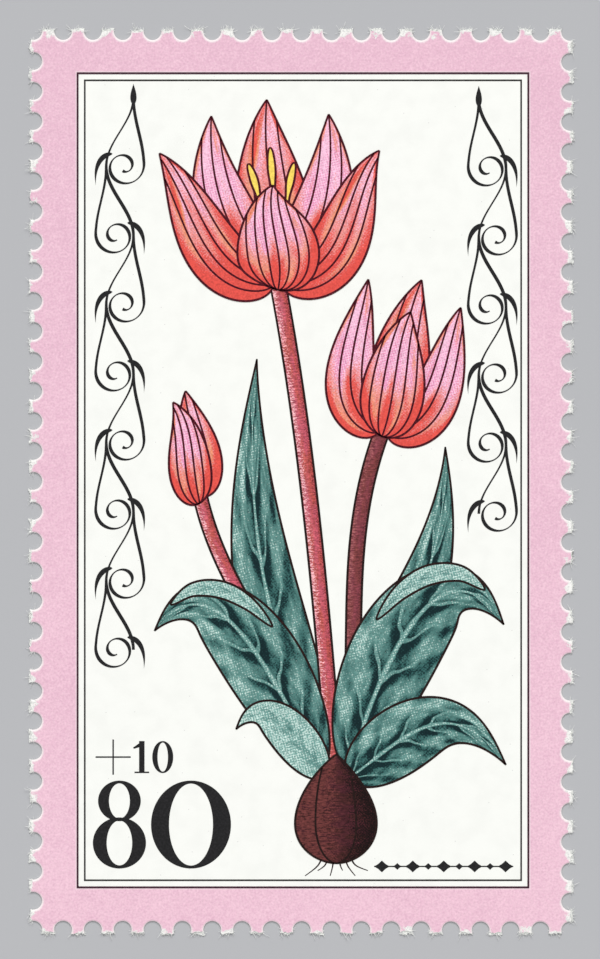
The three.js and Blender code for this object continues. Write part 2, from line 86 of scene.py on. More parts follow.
class Value:
    """A value that varies over a surface, which Python's operators work on."""

    def __init__(self, shader: "Shader", socket: NodeSocket) -> None:
        """Wraps an output socket of a shader."""
        self.shader = shader
        self.socket = socket

    def __add__(self, other: "Number") -> "Value":
        """The sum."""
        return self.shader.math("ADD", self, other)

    __radd__ = __add__

    def __sub__(self, other: "Number") -> "Value":
        """The difference."""
        return self.shader.math("SUBTRACT", self, other)

    def __rsub__(self, other: "Number") -> "Value":
        """The difference, the other way round."""
        return self.shader.math("SUBTRACT", other, self)

    def __mul__(self, other: "Number") -> "Value":
        """The product."""
        return self.shader.math("MULTIPLY", self, other)

    __rmul__ = __mul__

    def __abs__(self) -> "Value":
        """The size without its sign."""
        return self.shader.math("ABSOLUTE", self)

    def smaller(self, other: "Number") -> "Value":
        """The smaller of two values."""
        return self.shader.math("MINIMUM", self, other)

    def root(self) -> "Value":
        """The square root."""
        return self.shader.math("SQRT", self)

    def from_nearest(self, pitch: float) -> "Value":
        """The distance to the nearest whole number of pitches."""
        return self.shader.math("PINGPONG", self, pitch / 2)

    def greater(self, other: "Number") -> "Value":
        """The greater of two values."""
        return self.shader.math("MAXIMUM", self, other)

    def wave(self, period: float) -> "Value":
        """A smooth wave from 0 to 1, which is 1 where this value is a whole number of periods."""
        return 0.5 + 0.5 * self.shader.math("COSINE", self * (2 * math.pi / period))

    def rising(self, low: float, high: float) -> "Value":
        """A smooth step, from 0 up to low to 1 from high on."""
        ends = {"Value": self, "From Min": low, "From Max": high}
        return self.shader.value("ShaderNodeMapRange", {"interpolation_type": "SMOOTHSTEP"}, ends, "Result")

    def falling(self, low: float, high: float) -> "Value":
        """A smooth step down, from 1 at low to 0 at high."""
        return 1 - self.rising(low, high)

    def clamped(self) -> "Value":
        """The value kept between 0 and 1."""
        return self.shader.value("ShaderNodeClamp", {}, {"Value": self})


Number = Union[float, Value]
Paint = Union[Colour, Value]


def screen(red: float, green: float, blue: float) -> Colour:
    """The linear colour of three 0 to 255 screen values.

    Args:
        red: The red value.
        green: The green value.
        blue: The blue value.

    Returns:
        The three linear values, from 0 to 1.
    """

    def linear(level: float) -> float:
        """One channel's linear value."""
        share = level / 255
        return share / 12.92 if share <= 0.04045 else ((share + 0.055) / 1.055) ** 2.4

    return linear(red), linear(green), linear(blue)


class Shader:
    """A node material while it is made. Lengths in it are in millimetres."""

    MIX_FIRST, MIX_SECOND, MIX_RESULT = 6, 7, 2  # the places of a Mix node's colour sockets

    def __init__(self, name: str) -> None:
        """Starts an empty material.

        Args:
            name: The material's name.
        """
        self.material = bpy.data.materials.new(name)
        self.material.use_nodes = True
        self.tree = self.material.node_tree
        self.tree.nodes.clear()

    def node(self, kind: str, settings: Mapping[str, Any], inputs: Mapping[Any, Any]) -> Node:
        """Adds a node.

        Args:
            kind: The node's type.
            settings: The node's own properties, which are set first.
            inputs: A number, colour or value for each socket, by name or place.

        Returns:
            The node.
        """
        node = self.tree.nodes.new(kind)
        for name, setting in settings.items():
            setattr(node, name, setting)
        for place, given in inputs.items():
            socket = node.inputs[place]
            if isinstance(given, Value):
                self.tree.links.new(given.socket, socket)
            elif socket.type == "RGBA":
                socket.default_value = (*given, 1.0)
            else:
                socket.default_value = given
        return node

    def value(
        self, kind: str, settings: Mapping[str, Any], inputs: Mapping[Any, Any], output: int | str = 0
    ) -> Value:
        """Adds a node and gives one of its outputs."""
        return Value(self, self.node(kind, settings, inputs).outputs[output])

    def math(self, operation: str, first: Number, second: Number = 0.0) -> Value:
        """One arithmetic step, with a second number where the operation has one."""
        return self.value("ShaderNodeMath", {"operation": operation}, {0: first, 1: second})

    def mix(self, share: Number, first: Paint, second: Paint) -> Value:
        """A colour between two others.

        Args:
            share: How far it is from the first to the second, from 0 to 1.
            first: The first colour.
            second: The second colour.

        Returns:
            The colour.
        """
        settings = {"data_type": "RGBA", "clamp_factor": True}
        inputs = {0: share, self.MIX_FIRST: first, self.MIX_SECOND: second}
        return self.value("ShaderNodeMix", settings, inputs, self.MIX_RESULT)

    def shaded(self, paint: Paint, brightness: Number) -> Value:
        """A colour made lighter or darker, or any vector multiplied by a number."""
        return self.value("ShaderNodeVectorMath", {"operation": "SCALE"}, {0: paint, "Scale": brightness})

    def place(self) -> Value:
        """The place on the object, in millimetres."""
        return self.shaded(self.value("ShaderNodeTexCoord", {}, {}, "Object"), 1 / METRES)

    def along_and_across(self) -> tuple[Value, Value]:
        """The share of a blade's length, and its width from -1 to 1, from its own UV map."""
        along, across, _ = self.parts(self.value("ShaderNodeTexCoord", {}, {}, "UV"))
        return along, across * 2 - 1

    def parts(self, vector: Value) -> tuple[Value, Value, Value]:
        """The three parts of a vector."""
        node = self.node("ShaderNodeSeparateXYZ", {}, {0: vector})
        return Value(self, node.outputs[0]), Value(self, node.outputs[1]), Value(self, node.outputs[2])

    def vector(self, x: Number, y: Number, z: Number = 0.0) -> Value:
        """A vector of three parts."""
        return self.value("ShaderNodeCombineXYZ", {}, {0: x, 1: y, 2: z})

    def noise(self, where: Value, size: float, detail: float = 2.0) -> Value:
        """Soft random blotches of a rough size, with finer layers added, mostly near a half."""
        inputs = {"Vector": where, "Scale": 1 / size, "Detail": detail}
        return self.value("ShaderNodeTexNoise", {"noise_dimensions": "3D"}, inputs)

    def coated(
        self, paint: Paint, roughness: Number, relief: Value, depth: float, gloss: float = 0.3
    ) -> Material:
        """Ends the material.

        Args:
            paint: The surface's colour.
            roughness: How rough it is, from 0 to 1.
            relief: The height of its fine relief, from 0 to 1.
            depth: The height of the relief, in millimetres.
            gloss: How strongly it mirrors light.

        Returns:
            The finished material.
        """
        bump = self.value("ShaderNodeBump", {}, {"Height": relief, "Distance": depth * METRES})
        inputs = {"Base Color": paint, "Roughness": roughness, "Normal": bump, "Specular IOR Level": gloss}
        surface = self.value("ShaderNodeBsdfPrincipled", {}, inputs)
        self.node("ShaderNodeOutputMaterial", {}, {"Surface": surface})
        return self.material


@dataclass(frozen=True)
class DotScreen:
    """A printer's screen: rows of uneven dots that grow with the tone.

    Attributes:
        pitch: The distance between rows, in millimetres.
        angle: The turn of the rows, in degrees.
        contrast: How much stronger a dot is than the tone all round it, from 0 to 1.
        uneven: How far chance, and not the row, says where a dot is, from 0 to 1.
        hardness: How sharp the dots' edges are.
    """

    pitch: float
    angle: float
    contrast: float
    uneven: float
    hardness: float = 2.6

    SPECK = 0.55  # the rough size of an uneven dot, in pitches

    def dots(self, shader: Shader, tone: Number) -> Value:
        """Prints a tone as dots.

        Args:
            shader: The material that it is for.
            tone: The share of the surface that ink covers.

        Returns:
            The cover, which is greatest on a dot and least between dots.
        """
        x, y, _ = shader.parts(shader.place())
        cosine, sine = math.cos(math.radians(self.angle)), math.sin(math.radians(self.angle))
        row = (x * cosine + y * sine).wave(self.pitch)
        column = (y * cosine - x * sine).wave(self.pitch)
        chance = shader.noise(shader.place(), self.SPECK * self.pitch, 1).rising(0.3, 0.7)
        level = (0.5 - 0.5 * self.uneven) * (row + column) + self.uneven * chance
        dots = ((tone * 1.2 - 0.1 - level) * self.hardness + 0.5).clamped()
        return (tone + (dots - tone) * self.contrast).clamped()


LEAF_SCREEN = DotScreen(pitch=0.12, angle=15.0, contrast=0.95, uneven=0.5)
LEAF_SHADE_SCREEN = DotScreen(pitch=0.12, angle=45.0, contrast=0.8, uneven=0.6)
PINK_SCREEN = DotScreen(pitch=0.115, angle=15.0, contrast=1.0, uneven=0.35)
CORAL_SCREEN = DotScreen(pitch=0.115, angle=45.0, contrast=0.9, uneven=0.65)
STEM_SCREEN = DotScreen(pitch=0.1, angle=45.0, contrast=0.9, uneven=0.7, hardness=3.2)

INK_GLOSS = 0.13  # the printed lines and pictures shine less than the paper's own coating

# The colours of the papers, the inks and the floor.
PAPER_WHITE = screen(254, 255, 250)
PAPER_SHADE = screen(250, 251, 246)
PAPER_SPECK = screen(206, 206, 204)
# FIBRE_SHADE is painted shade among the loose fibres of the torn edges.
FIBRE_SHADE = screen(196, 198, 199)
FIBRE_PALE = screen(228, 230, 230)
GUM_CREAM = screen(243, 236, 216)
GUM_PALE = screen(248, 244, 232)
BORDER_LIGHT = screen(247, 205, 221)
BORDER_DARK = screen(234, 188, 208)
INK_BLACK = screen(31, 31, 32)
INK_BLACK_THIN = screen(43, 42, 44)
INK_SOOT = screen(40, 40, 39)
INK_SOOT_THIN = screen(54, 53, 51)
INK_UMBER = screen(26, 12, 10)
INK_UMBER_THIN = screen(50, 28, 26)
INK_PURPLE = screen(54, 26, 40)
INK_PURPLE_THIN = screen(80, 47, 61)
INK_WINE = screen(60, 4, 18)
INK_WINE_THIN = screen(98, 24, 40)
PINK_LIGHT = screen(255, 202, 227)
PINK_DEEP = screen(237, 148, 190)
CORAL = screen(231, 85, 76)
SALMON = screen(241, 148, 149)
ORANGE = screen(243, 162, 90)
YELLOW = screen(253, 221, 101)
TEAL_PALE = screen(212, 236, 228)
TEAL_LIGHT = screen(116, 166, 158)
TEAL = screen(54, 103, 100)
TEAL_DARK = screen(8, 36, 40)
STEM_LIGHT = screen(244, 186, 192)
STEM_RED = screen(190, 86, 80)
STEM_BLUSH = screen(200, 92, 108)
STEM_SHADE = screen(116, 34, 34)
BROWN_LIGHT = screen(158, 92, 93)
BROWN = screen(126, 62, 62)
BROWN_BLUSH = screen(134, 64, 74)
BROWN_SHADE = screen(84, 36, 38)
MAROON_LIGHT = screen(106, 54, 52)
MAROON = screen(70, 34, 33)
MAROON_BLUSH = screen(78, 34, 42)
MAROON_SHADE = screen(20, 8, 8)
FLOOR_DARK = screen(184, 185, 188)
FLOOR_LIGHT = screen(190, 191, 194)


class Finish:
    """How a surface looks. Each finish makes its material once."""

    @cache
    def material(self) -> Material:
        """The finish's material."""
        return self.made(Shader(type(self).__name__))

    def made(self, shader: Shader) -> Material:
        """Makes the material in a new shader."""
        raise NotImplementedError

    def grain(self, shader: Shader) -> Value:
        """The fine relief of the paper, which shows through what is printed on it."""
        where = shader.place()
        return 0.6 * shader.noise(where, 0.11, 3) + 0.4 * shader.noise(where, 0.5)

    def inked(self, shader: Shader, paint: Paint, depth: float = 0.004) -> Material:
        """Ends the material of a printed line or picture, whose relief is the paper's."""
        grain = self.grain(shader)
        return shader.coated(paint, 0.5 + 0.2 * grain, grain, depth, INK_GLOSS)

    def uneven(self, shader: Shader, paint: Paint, strength: float) -> Value:
        """A printed colour whose cover varies a little from one screen dot to the next."""
        return shader.shaded(paint, 1 + strength * (shader.noise(shader.place(), 0.09, 1) - 0.5))

    def outside(self, shader: Shader, middle: Point, size: Point) -> Value:
        """How far a place is outside a rectangle's nearest side, or inside it where negative."""
        x, y, _ = shader.parts(shader.place())
        return (abs(x - middle[0]) - size[0] / 2).greater(abs(y - middle[1]) - size[1] / 2)


@dataclass(frozen=True)
class CoatedPaper(Finish):
    """White coated paper, faintly cloudy, with a rare grey speck, and painted grey shade in its torn fibres.

    Attributes:
        slot: The record's slot, which nothing in this script uses.
        torn: How far inside and outside the holes' centre line the coating gives way to bare fibres.
        speck_spacing: The rough distance between specks.
        speck_size: The radius of a speck.
    """

    slot: str = "paper"
    torn: tuple[float, float] = (-0.16, 0.02)
    speck_spacing: float = 1.3
    speck_size: float = 0.03

    def specks(self, shader: Shader) -> Value:
        """The specks of the paper's stock.

        Args:
            shader: The material that it is for.

        Returns:
            A value that is 1 on a speck and 0 elsewhere.
        """
        inputs = {"Vector": shader.place(), "Scale": 1 / self.speck_spacing}
        cells = shader.node("ShaderNodeTexVoronoi", {"voronoi_dimensions": "2D"}, inputs)
        distance = Value(shader, cells.outputs["Distance"]) * self.speck_spacing
        chance, _, _ = shader.parts(Value(shader, cells.outputs["Color"]))
        return distance.falling(0.5 * self.speck_size, self.speck_size) * chance.rising(0.55, 0.6)

    def made(self, shader: Shader) -> Material:
        """Makes the material in a new shader.

        Args:
            shader: The new material's shader.

        Returns:
            The finished material.
        """
        where = shader.place()
        cloud = shader.noise(where, 0.9, 3).rising(0.35, 0.75)
        fibres = shader.noise(where, 0.07, 4).rising(0.42, 0.62)
        loose = self.outside(shader, (0.0, 0.0), SHEET_SIZE).rising(*self.torn)
        paint = shader.mix(cloud, PAPER_WHITE, PAPER_SHADE)
        paint = shader.mix(self.specks(shader) * 0.7, paint, PAPER_SPECK)
        # Painted shade: grey among the loose fibres at the torn edge.
        paint = shader.mix(loose * fibres * 0.75, paint, FIBRE_SHADE)
        grain = self.grain(shader) + 2.5 * loose * fibres
        return shader.coated(paint, 0.62 + 0.12 * grain, grain, 0.004)


@dataclass(frozen=True)
class TornFibre(Finish):
    """Uncoated paper fibre, a little greyer where it is thin."""

    slot: str = "paper"

    def made(self, shader: Shader) -> Material:
        """Makes the material in a new shader.

        Args:
            shader: The new material's shader.

        Returns:
            The finished material.
        """
        patchy = shader.noise(shader.place(), 0.08)
        paint = shader.mix(patchy.rising(0.4, 0.7), PAPER_WHITE, FIBRE_PALE)
        return shader.coated(paint, 0.9, patchy, 0.003)


@dataclass(frozen=True)
class DryGum(Finish):
    """Dried gum: a cream film with a soft gloss and fine ripples."""

    slot: str = "gum"

    def made(self, shader: Shader) -> Material:
        """Makes the material in a new shader.

        Args:
            shader: The new material's shader.

        Returns:
            The finished material.
        """
        where = shader.place()
        x, y, _ = shader.parts(where)
        ripples = (y + 0.5 * shader.noise(where, 2.5)).wave(0.8) * 0.5 + shader.noise(where, 0.3)
        paint = shader.mix(shader.noise(where, 3.0), GUM_CREAM, GUM_PALE)
        return shader.coated(paint, 0.25 + 0.2 * shader.noise(where, 1.2), ripples, 0.004)


@dataclass(frozen=True)
class BorderPink(Finish):
    """The border's pink ink.

    It is finely mottled, painted a little deeper towards the top as painted shade, and lighter beside the
    frame line. It came off with the paper's face on the torn teeth, most at the top and right. The lower
    rim of each hole is painted white as a painted highlight, where light from the top catches the rim.

    Attributes:
        slot: The record's slot, which nothing in this script uses.
        worn_middle: The middle of the rectangle inside which the ink is whole.
        worn_size: That rectangle's size.
        highlight_drop: How far below its hole the middle of the painted highlight ring lies.
        rim: The distances from there between which the painted highlight fades and the ink gets whole.
        painted_top_shade: How much darker the ink is painted with each millimetre up the sheet, as painted
            shade.
    """

    slot: str = "border_ink"
    worn_middle: Point = (-0.05, -0.065)
    worn_size: Point = (25.59, 42.91)
    highlight_drop: float = 0.045
    rim: tuple[float, float] = (0.42, 0.545)
    painted_top_shade: float = 0.0022

    def worn_off(self, shader: Shader) -> Value:
        """Where the ink came off the torn teeth, in ragged patches.

        Args:
            shader: The material that it is for.

        Returns:
            A value that is 1 where the ink is gone and 0 where it is whole.
        """
        where = shader.place()
        uneven = 1.1 * (shader.noise(where, 0.6, 1) - 0.5) + 0.5 * (shader.noise(where, 0.09, 3) - 0.5)
        return (self.outside(shader, self.worn_middle, self.worn_size) + uneven).rising(-0.06, 0.05)

    def painted_rim_highlight(self, shader: Shader) -> Value:
        """Where the holes' lower rims are painted white, a painted highlight of the light from the top.

        Args:
            shader: The material that it is for.

        Returns:
            A value that is 1 where the painted highlight is full and 0 where the ink is whole.
        """
        x, y, _ = shader.parts(shader.place())
        # The ring is moved down so that the painted highlight falls on each hole's lower rim.
        y = y + x * HOLE_SLANT + self.highlight_drop
        (width, height), (across, down) = SHEET_SIZE, PITCHES
        from_side = abs(x) - width / 2
        from_end = (y - height / 2).greater(BOTTOM_RISE - height / 2 - y)
        along_side, along_end = y.from_nearest(height / down), x.from_nearest(width / across)
        side = from_side * from_side + along_side * along_side
        end = from_end * from_end + along_end * along_end
        uneven = 0.1 * (shader.noise(shader.place(), 0.08, 2) - 0.5)
        return (side.smaller(end).root() + uneven).falling(*self.rim)

    def made(self, shader: Shader) -> Material:
        """Makes the material in a new shader.

        Args:
            shader: The new material's shader.

        Returns:
            The finished material.
        """
        where = shader.place()
        _, y, _ = shader.parts(where)
        mottle = 0.72 * shader.noise(where, 0.12, 3) + 0.28 * shader.noise(where, 0.35, 2)
        # Painted shade: the ink is painted darker towards the top of the sheet, with broad soft clouds on it.
        drift = self.painted_top_shade * y + 0.2 * (shader.noise(where, 4.0, 1) - 0.5)
        paint = shader.mix((mottle + drift).rising(0.32, 0.68), BORDER_LIGHT, BORDER_DARK)
        paint = self.uneven(shader, paint, 0.3)
        beside_line = self.outside(shader, PRINT_MIDDLE, OUTER_FRAME).falling(0.05, 0.14)
        # Painted highlight: the holes' lower rims are painted white here, together with the real bare paper
        # of the torn teeth and the lighter band beside the frame line.
        bare = (beside_line * 0.4).greater(self.painted_rim_highlight(shader) * 0.7).greater(self.worn_off(shader) * 0.95)
        fibres = shader.noise(where, 0.09, 4).rising(0.45, 0.65) * self.worn_off(shader)
        grain = self.grain(shader) + 2.0 * fibres
        # Painted shade: grey among the bare fibres of the torn teeth.
        paint = shader.mix(bare, paint, shader.mix(fibres * 0.5, PAPER_WHITE, FIBRE_SHADE))
        return shader.coated(paint, 0.58 + 0.18 * grain, grain, 0.004)


@dataclass(frozen=True)
class LineInk(Finish):
    """Dark ink of a line or numeral, a little thinner in places.

    Attributes:
        full: The colour where the ink is thick.
        thin: The colour where it is thin.
        slot: The record's slot, which nothing in this script uses.
    """

    full: Colour = INK_BLACK
    thin: Colour = INK_BLACK_THIN
    slot: str = "black_ink"

    def made(self, shader: Shader) -> Material:
        """Makes the material in a new shader."""
        cover = shader.noise(shader.place(), 0.1, 2).rising(0.36, 0.74)
        return self.inked(shader, shader.mix(cover, self.full, self.thin), 0.003)


@dataclass(frozen=True)
class PetalInk(Finish):
    """Pink petals, streaked with coral from the root.

    Attributes:
        slot: The record's slot, which nothing in this script uses.
        root: The share of the length that the coral reaches from the root.
        tip: How strong the coral is at the tip.
        edge: How strong it is along the edges.
    """

    slot: str = "petal_pink_ink"
    root: float = 0.5
    tip: float = 0.35
    edge: float = 0.3

    def made(self, shader: Shader) -> Material:
        """Makes the material in a new shader.

        Args:
            shader: The new material's shader.

        Returns:
            The finished material.
        """
        along, across = shader.along_and_across()
        streak = shader.noise(shader.vector(along * 2.2, across * 2.6, self.root * 9), 1.0, 3) - 0.5
        reach = along + 1.1 * streak
        from_root = reach.falling(0.0, self.root * 1.25)
        to_tip = reach.rising(0.55, 1.05) * self.tip
        at_edge = (abs(across) + 0.9 * streak).rising(0.45, 1.15) * self.edge
        coral = (from_root.greater(to_tip) + at_edge).clamped()
        pink = shader.mix(PINK_SCREEN.dots(shader, 0.45 + 1.4 * streak), PINK_LIGHT, PINK_DEEP)
        paint = shader.mix(CORAL_SCREEN.dots(shader, coral * 1.5), pink, SALMON)
        paint = shader.mix(CORAL_SCREEN.dots(shader, coral * 1.6 - 0.58), paint, CORAL)
        turning = (coral * (1 - coral) * 2.6 + 1.5 * streak).rising(0.5, 0.95)
        return self.inked(shader, self.uneven(shader, shader.mix(turning * 0.5, paint, ORANGE), 0.8))


@dataclass(frozen=True)
class LeafInk(Finish):
    """Teal leaves, marbled, with light veins and dark shading beside them.

    Attributes:
        slot: The record's slot, which nothing in this script uses.
        veins: How many side veins run off each half.
        shade: How dark the leaf is all over.
        relief: How strong its veins and shading are.
    """

    slot: str = "leaf_ink"
    veins: float = 6.0
    shade: float = 0.3
    relief: float = 1.0

    def made(self, shader: Shader) -> Material:
        """Makes the material in a new shader.

        Args:
            shader: The new material's shader.

        Returns:
            The finished material.
        """
        along, across = shader.along_and_across()
        out = abs(across)
        where = shader.vector(along * 6, across * 2.2)
        blotch = shader.noise(where, 1.0, 1) - 0.5
        marbling = shader.noise(where, 0.45, 4) - 0.5
        row = along * self.veins - out * 1.5 + 0.6 * blotch
        crease = (row + 0.15).wave(1.0).rising(0.2, 1.0) * out.falling(0.2, 1.0)
        at_edge = (row + 0.3).wave(1.0).rising(0.3, 1.0) * out.rising(0.55, 1.0)
        middle_crease = out.falling(0.05, 0.55) * along.falling(0.55, 1.0)
        tone = 0.45 * crease + 0.4 * at_edge + 0.4 * middle_crease + 0.4 * along.falling(0.0, 0.3)
        tone = tone - 0.12 * across + 0.85 * blotch + 1.05 * marbling
        side_vein = row.wave(1.0).rising(0.92, 1.0) * out.falling(0.4, 0.85)
        middle_vein = out.falling(0.02, 0.085) * along.falling(0.85, 1.0)
        vein = middle_vein.greater(side_vein * 0.8) * self.relief
        tone = self.shade + self.relief * tone
        tone = (tone + (0.16 - tone) * vein).clamped()
        paint = shader.mix(tone * 1.3, TEAL_LIGHT, TEAL)
        paint = shader.mix(LEAF_SHADE_SCREEN.dots(shader, tone * 1.5 - 0.63), paint, TEAL_DARK)
        paint = shader.mix(LEAF_SCREEN.dots(shader, 0.47 - 0.7 * tone), paint, TEAL_PALE)
        return self.inked(shader, self.uneven(shader, paint, 0.9))


@dataclass(frozen=True)
class RoundInk(Finish):
    """A round stem or bulb, lit from the left with short strokes across it, and darker on the right.

    Attributes:
        slot: The record's slot, which nothing in this script uses.
        light: The colour of its lit side.
        body: The colour between the light and the shade.
        blush: The colour of the pinker patches in it.
        dark: The colour of its shaded side.
        lit: The places across it, from -1 at its right edge to 1, where the light starts and is full.
        bright: How strong the light is there.
        deep: How strong the shade is.
    """

    slot: str
    light: Colour
    body: Colour
    blush: Colour
    dark: Colour
    lit: tuple[float, float] = (-0.4, 1.05)
    bright: float = 0.56
    deep: float = 0.55

    def made(self, shader: Shader) -> Material:
        """Makes the material in a new shader.

        Args:
            shader: The new material's shader.

        Returns:
            The finished material.
        """
        along, across = shader.along_and_across()
        x, y, _ = shader.parts(shader.place())
        strokes = shader.noise(shader.vector(x * 0.3, y), 0.07, 1) - 0.5
        mottle = shader.noise(shader.vector(along * 9, across * 1.5), 1.0, 3) - 0.5
        lit = across.rising(*self.lit) * (self.bright + 1.4 * mottle + 2.4 * strokes)
        shaded = across.falling(-1.2, 0.25) + 0.25 * across.rising(0.85, 1.0) + 0.5 * mottle
        patches = shader.noise(shader.vector(along * 12, across * 1.3, 4.0), 1.0, 2)
        body = shader.mix(patches.rising(0.4, 0.6), self.body, self.blush)
        paint = shader.mix(STEM_SCREEN.dots(shader, lit), body, self.light)
        paint = shader.mix(STEM_SCREEN.dots(shader, shaded * self.deep), paint, self.dark)
        return self.inked(shader, self.uneven(shader, shader.shaded(paint, 1 + 1.7 * strokes), 0.9))


@dataclass(frozen=True)
class StamenInk(Finish):
    """Yellow stamens, warmer towards their foot."""

    slot: str = "stamen_ink"

    def made(self, shader: Shader) -> Material:
        """Makes the material in a new shader.

        Args:
            shader: The new material's shader.

        Returns:
            The finished material.
        """
        along, across = shader.along_and_across()
        warm = along.falling(0.0, 0.6) * 0.6 + abs(across).rising(0.3, 1.0) * 0.4
        paint = shader.mix(CORAL_SCREEN.dots(shader, warm), YELLOW, ORANGE)
        return self.inked(shader, self.uneven(shader, paint, 0.7))


class Dress(Enum):
    """The finishes to choose from."""

    PAPER = CoatedPaper()
    FIBRE = TornFibre()
    GUM = DryGum()
    BORDER = BorderPink()
    BLACK = LineInk()
    OUTER_LINE = LineInk(INK_PURPLE, INK_PURPLE_THIN)
    INNER_LINE = LineInk(INK_SOOT, INK_SOOT_THIN)
    PLANT_LINE = LineInk(INK_UMBER, INK_UMBER_THIN)
    FLOWER_LINE = LineInk(INK_WINE, INK_WINE_THIN)
    PINK = PetalInk()
    PINK_FRONT = PetalInk(root=0.55, edge=0.45)
    CORAL = PetalInk("petal_coral_ink", root=0.8, tip=0.8, edge=0.5)
    LEAF = LeafInk()
    LEAF_BACK = LeafInk("leaf_back_ink", shade=-0.1, relief=0.5)
    STEM = RoundInk("stem_red_ink", STEM_LIGHT, STEM_RED, STEM_BLUSH, STEM_SHADE)
    STEM_DARK = RoundInk("stem_dark_ink", BROWN_LIGHT, BROWN, BROWN_BLUSH, BROWN_SHADE)
    BULB = RoundInk(
        "bulb_ink",
        MAROON_LIGHT,
        MAROON,
        MAROON_BLUSH,
        MAROON_SHADE,
        lit=(-0.6, 0.7),
        bright=0.8,
        deep=0.85,
    )
    STAMEN = StamenInk()


# The bench: what the operators work on.


def alone(piece: Object) -> None:
    """Makes a piece the only selected one, and the active one.

    Args:
        piece: The piece.
    """
    bpy.ops.object.select_all(action="DESELECT")
    piece.select_set(True)
    bpy.context.view_layer.objects.active = piece


def added(primitive: Callable[..., Any], **settings: Any) -> Object:
    """Adds a primitive with nothing else selected.

    Args:
        primitive: The operator that adds it.
        settings: The operator's settings.

    Returns:
        The new object.
    """
    bpy.ops.object.select_all(action="DESELECT")
    primitive(**settings)
    return bpy.context.object


def choose(piece: Object, wanted: Callable[[Vector], bool]) -> None:
    """Selects the vertices at the wanted places, and the edges and faces between them.

    Args:
        piece: The piece, in object mode.
        wanted: Says whether a place is wanted.
    """
    mesh = piece.data
    picked = [bool(wanted(vertex.co)) for vertex in mesh.vertices]
    mesh.vertices.foreach_set("select", picked)
    mesh.edges.foreach_set("select", [all(picked[i] for i in edge.vertices) for edge in mesh.edges])
    mesh.polygons.foreach_set("select", [all(picked[i] for i in face.vertices) for face in mesh.polygons])


@contextmanager
def editing(piece: Object, wanted: Callable[[Vector], bool] = lambda place: True) -> Iterator[None]:
    """Edit mode on one piece.

    Args:
        piece: The piece to edit.
        wanted: Says which places are selected at the start.

    Yields:
        Nothing. The piece is back in object mode afterwards.
    """
    alone(piece)
    choose(piece, wanted)
    bpy.context.tool_settings.mesh_select_mode = (True, False, False)
    bpy.ops.object.mode_set(mode="EDIT")
    yield
    bpy.ops.object.mode_set(mode="OBJECT")


def faced_outwards() -> None:
    """Turns all the faces outwards, in edit mode."""
    bpy.ops.mesh.select_all(action="SELECT")
    bpy.ops.mesh.normals_make_consistent(inside=False)


def sized(x: float, y: float, z: float = 1.0, height: float = 0.0) -> None:
    """Resizes what is selected about the origin, or a place straight above it, in edit mode."""
    bpy.ops.transform.resize(value=(x, y, z), center_override=(0, 0, height))


def applied(piece: Object, kind: str, settings: Mapping[str, Any]) -> None:
    """Adds a modifier with its settings to a piece, and applies it.

    Args:
        piece: The piece.
        kind: The modifier's type.
        settings: The modifier's settings.
    """
    alone(piece)
    modifier = piece.modifiers.new(kind.lower(), kind)
    for name, setting in settings.items():
        setattr(modifier, name, setting)
    bpy.ops.object.modifier_apply(modifier=modifier.name)


def thrown_away(piece: Object) -> None:
    """Deletes a helper object."""
    bpy.data.objects.remove(piece)


def thickened(piece: Object, bottom: float, top: float) -> Object:
    """Gives a flat piece at height 0 its place and thickness.

    Args:
        piece: The flat piece.
        bottom: The height of its underside.
        top: The height of its upper side.

    Returns:
        The same piece, now closed.
    """
    with editing(piece):
        bpy.ops.transform.translate(value=(0, 0, bottom))
        bpy.ops.mesh.extrude_region_move(TRANSFORM_OT_translate={"value": (0, 0, top - bottom)})
        faced_outwards()
    return piece


def combined(piece: Object, other: Object, operation: str) -> Object:
    """Cuts one closed piece out of another, or merges them, and throws the second away.

    Args:
        piece: The first piece.
        other: The second piece.
        operation: The Boolean modifier's operation.

    Returns:
        The first piece, cut or merged.
    """
    applied(piece, "BOOLEAN", {"object": other, "operation": operation, "solver": "MANIFOLD"})
    thrown_away(other)
    with editing(piece):
        bpy.ops.mesh.remove_doubles(threshold=SAME_PLACE)
    return piece


def joined(pieces: Sequence[Object]) -> Object:
    """Makes several objects one, without merging their bodies.

    Args:
        pieces: The objects.

    Returns:
        The one object.
    """
    alone(pieces[0])
    for piece in pieces:
        piece.select_set(True)
    bpy.ops.object.join()
    bpy.ops.object.transform_apply(location=True, rotation=True, scale=True)
    return bpy.context.object


def repeated(pattern: Object, places: Iterable[Matrix]) -> Object:
    """Copies a piece to many places, each copy with its own mesh.

    Args:
        pattern: The piece, which is thrown away afterwards.
        places: The place of each copy.

    Returns:
        One object of all the copies.
    """
    copies = []
    for place in places:
        copy = pattern.copy()
        copy.data = pattern.data.copy()
        bpy.context.scene.collection.objects.link(copy)
        copy.matrix_world = place
        copies.append(copy)
    thrown_away(pattern)
    return joined(copies)


def finished(piece: Object, name: str, dress: Dress, replaced: Sequence[str] = ()) -> None:
    """Brings a piece to its real size, dresses it and puts it on the frame.

    Args:
        piece: The piece, drawn in millimetres.
        name: Its name.
        dress: Its finish.
        replaced: The solids that it stands for.
    """
    alone(piece)
    bpy.ops.transform.resize(value=(METRES,) * 3, center_override=(0, 0, 0))
    bpy.ops.object.transform_apply(location=True, rotation=True, scale=True)
    piece.name = name
    piece.data.name = name
    piece.data.materials.clear()
    piece.data.materials.append(dress.value.material())
    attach(piece, ROOT_BODY)
    if replaced:
        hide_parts(*replaced)
    LOG.info("%s: %d faces", name, len(piece.data.polygons))


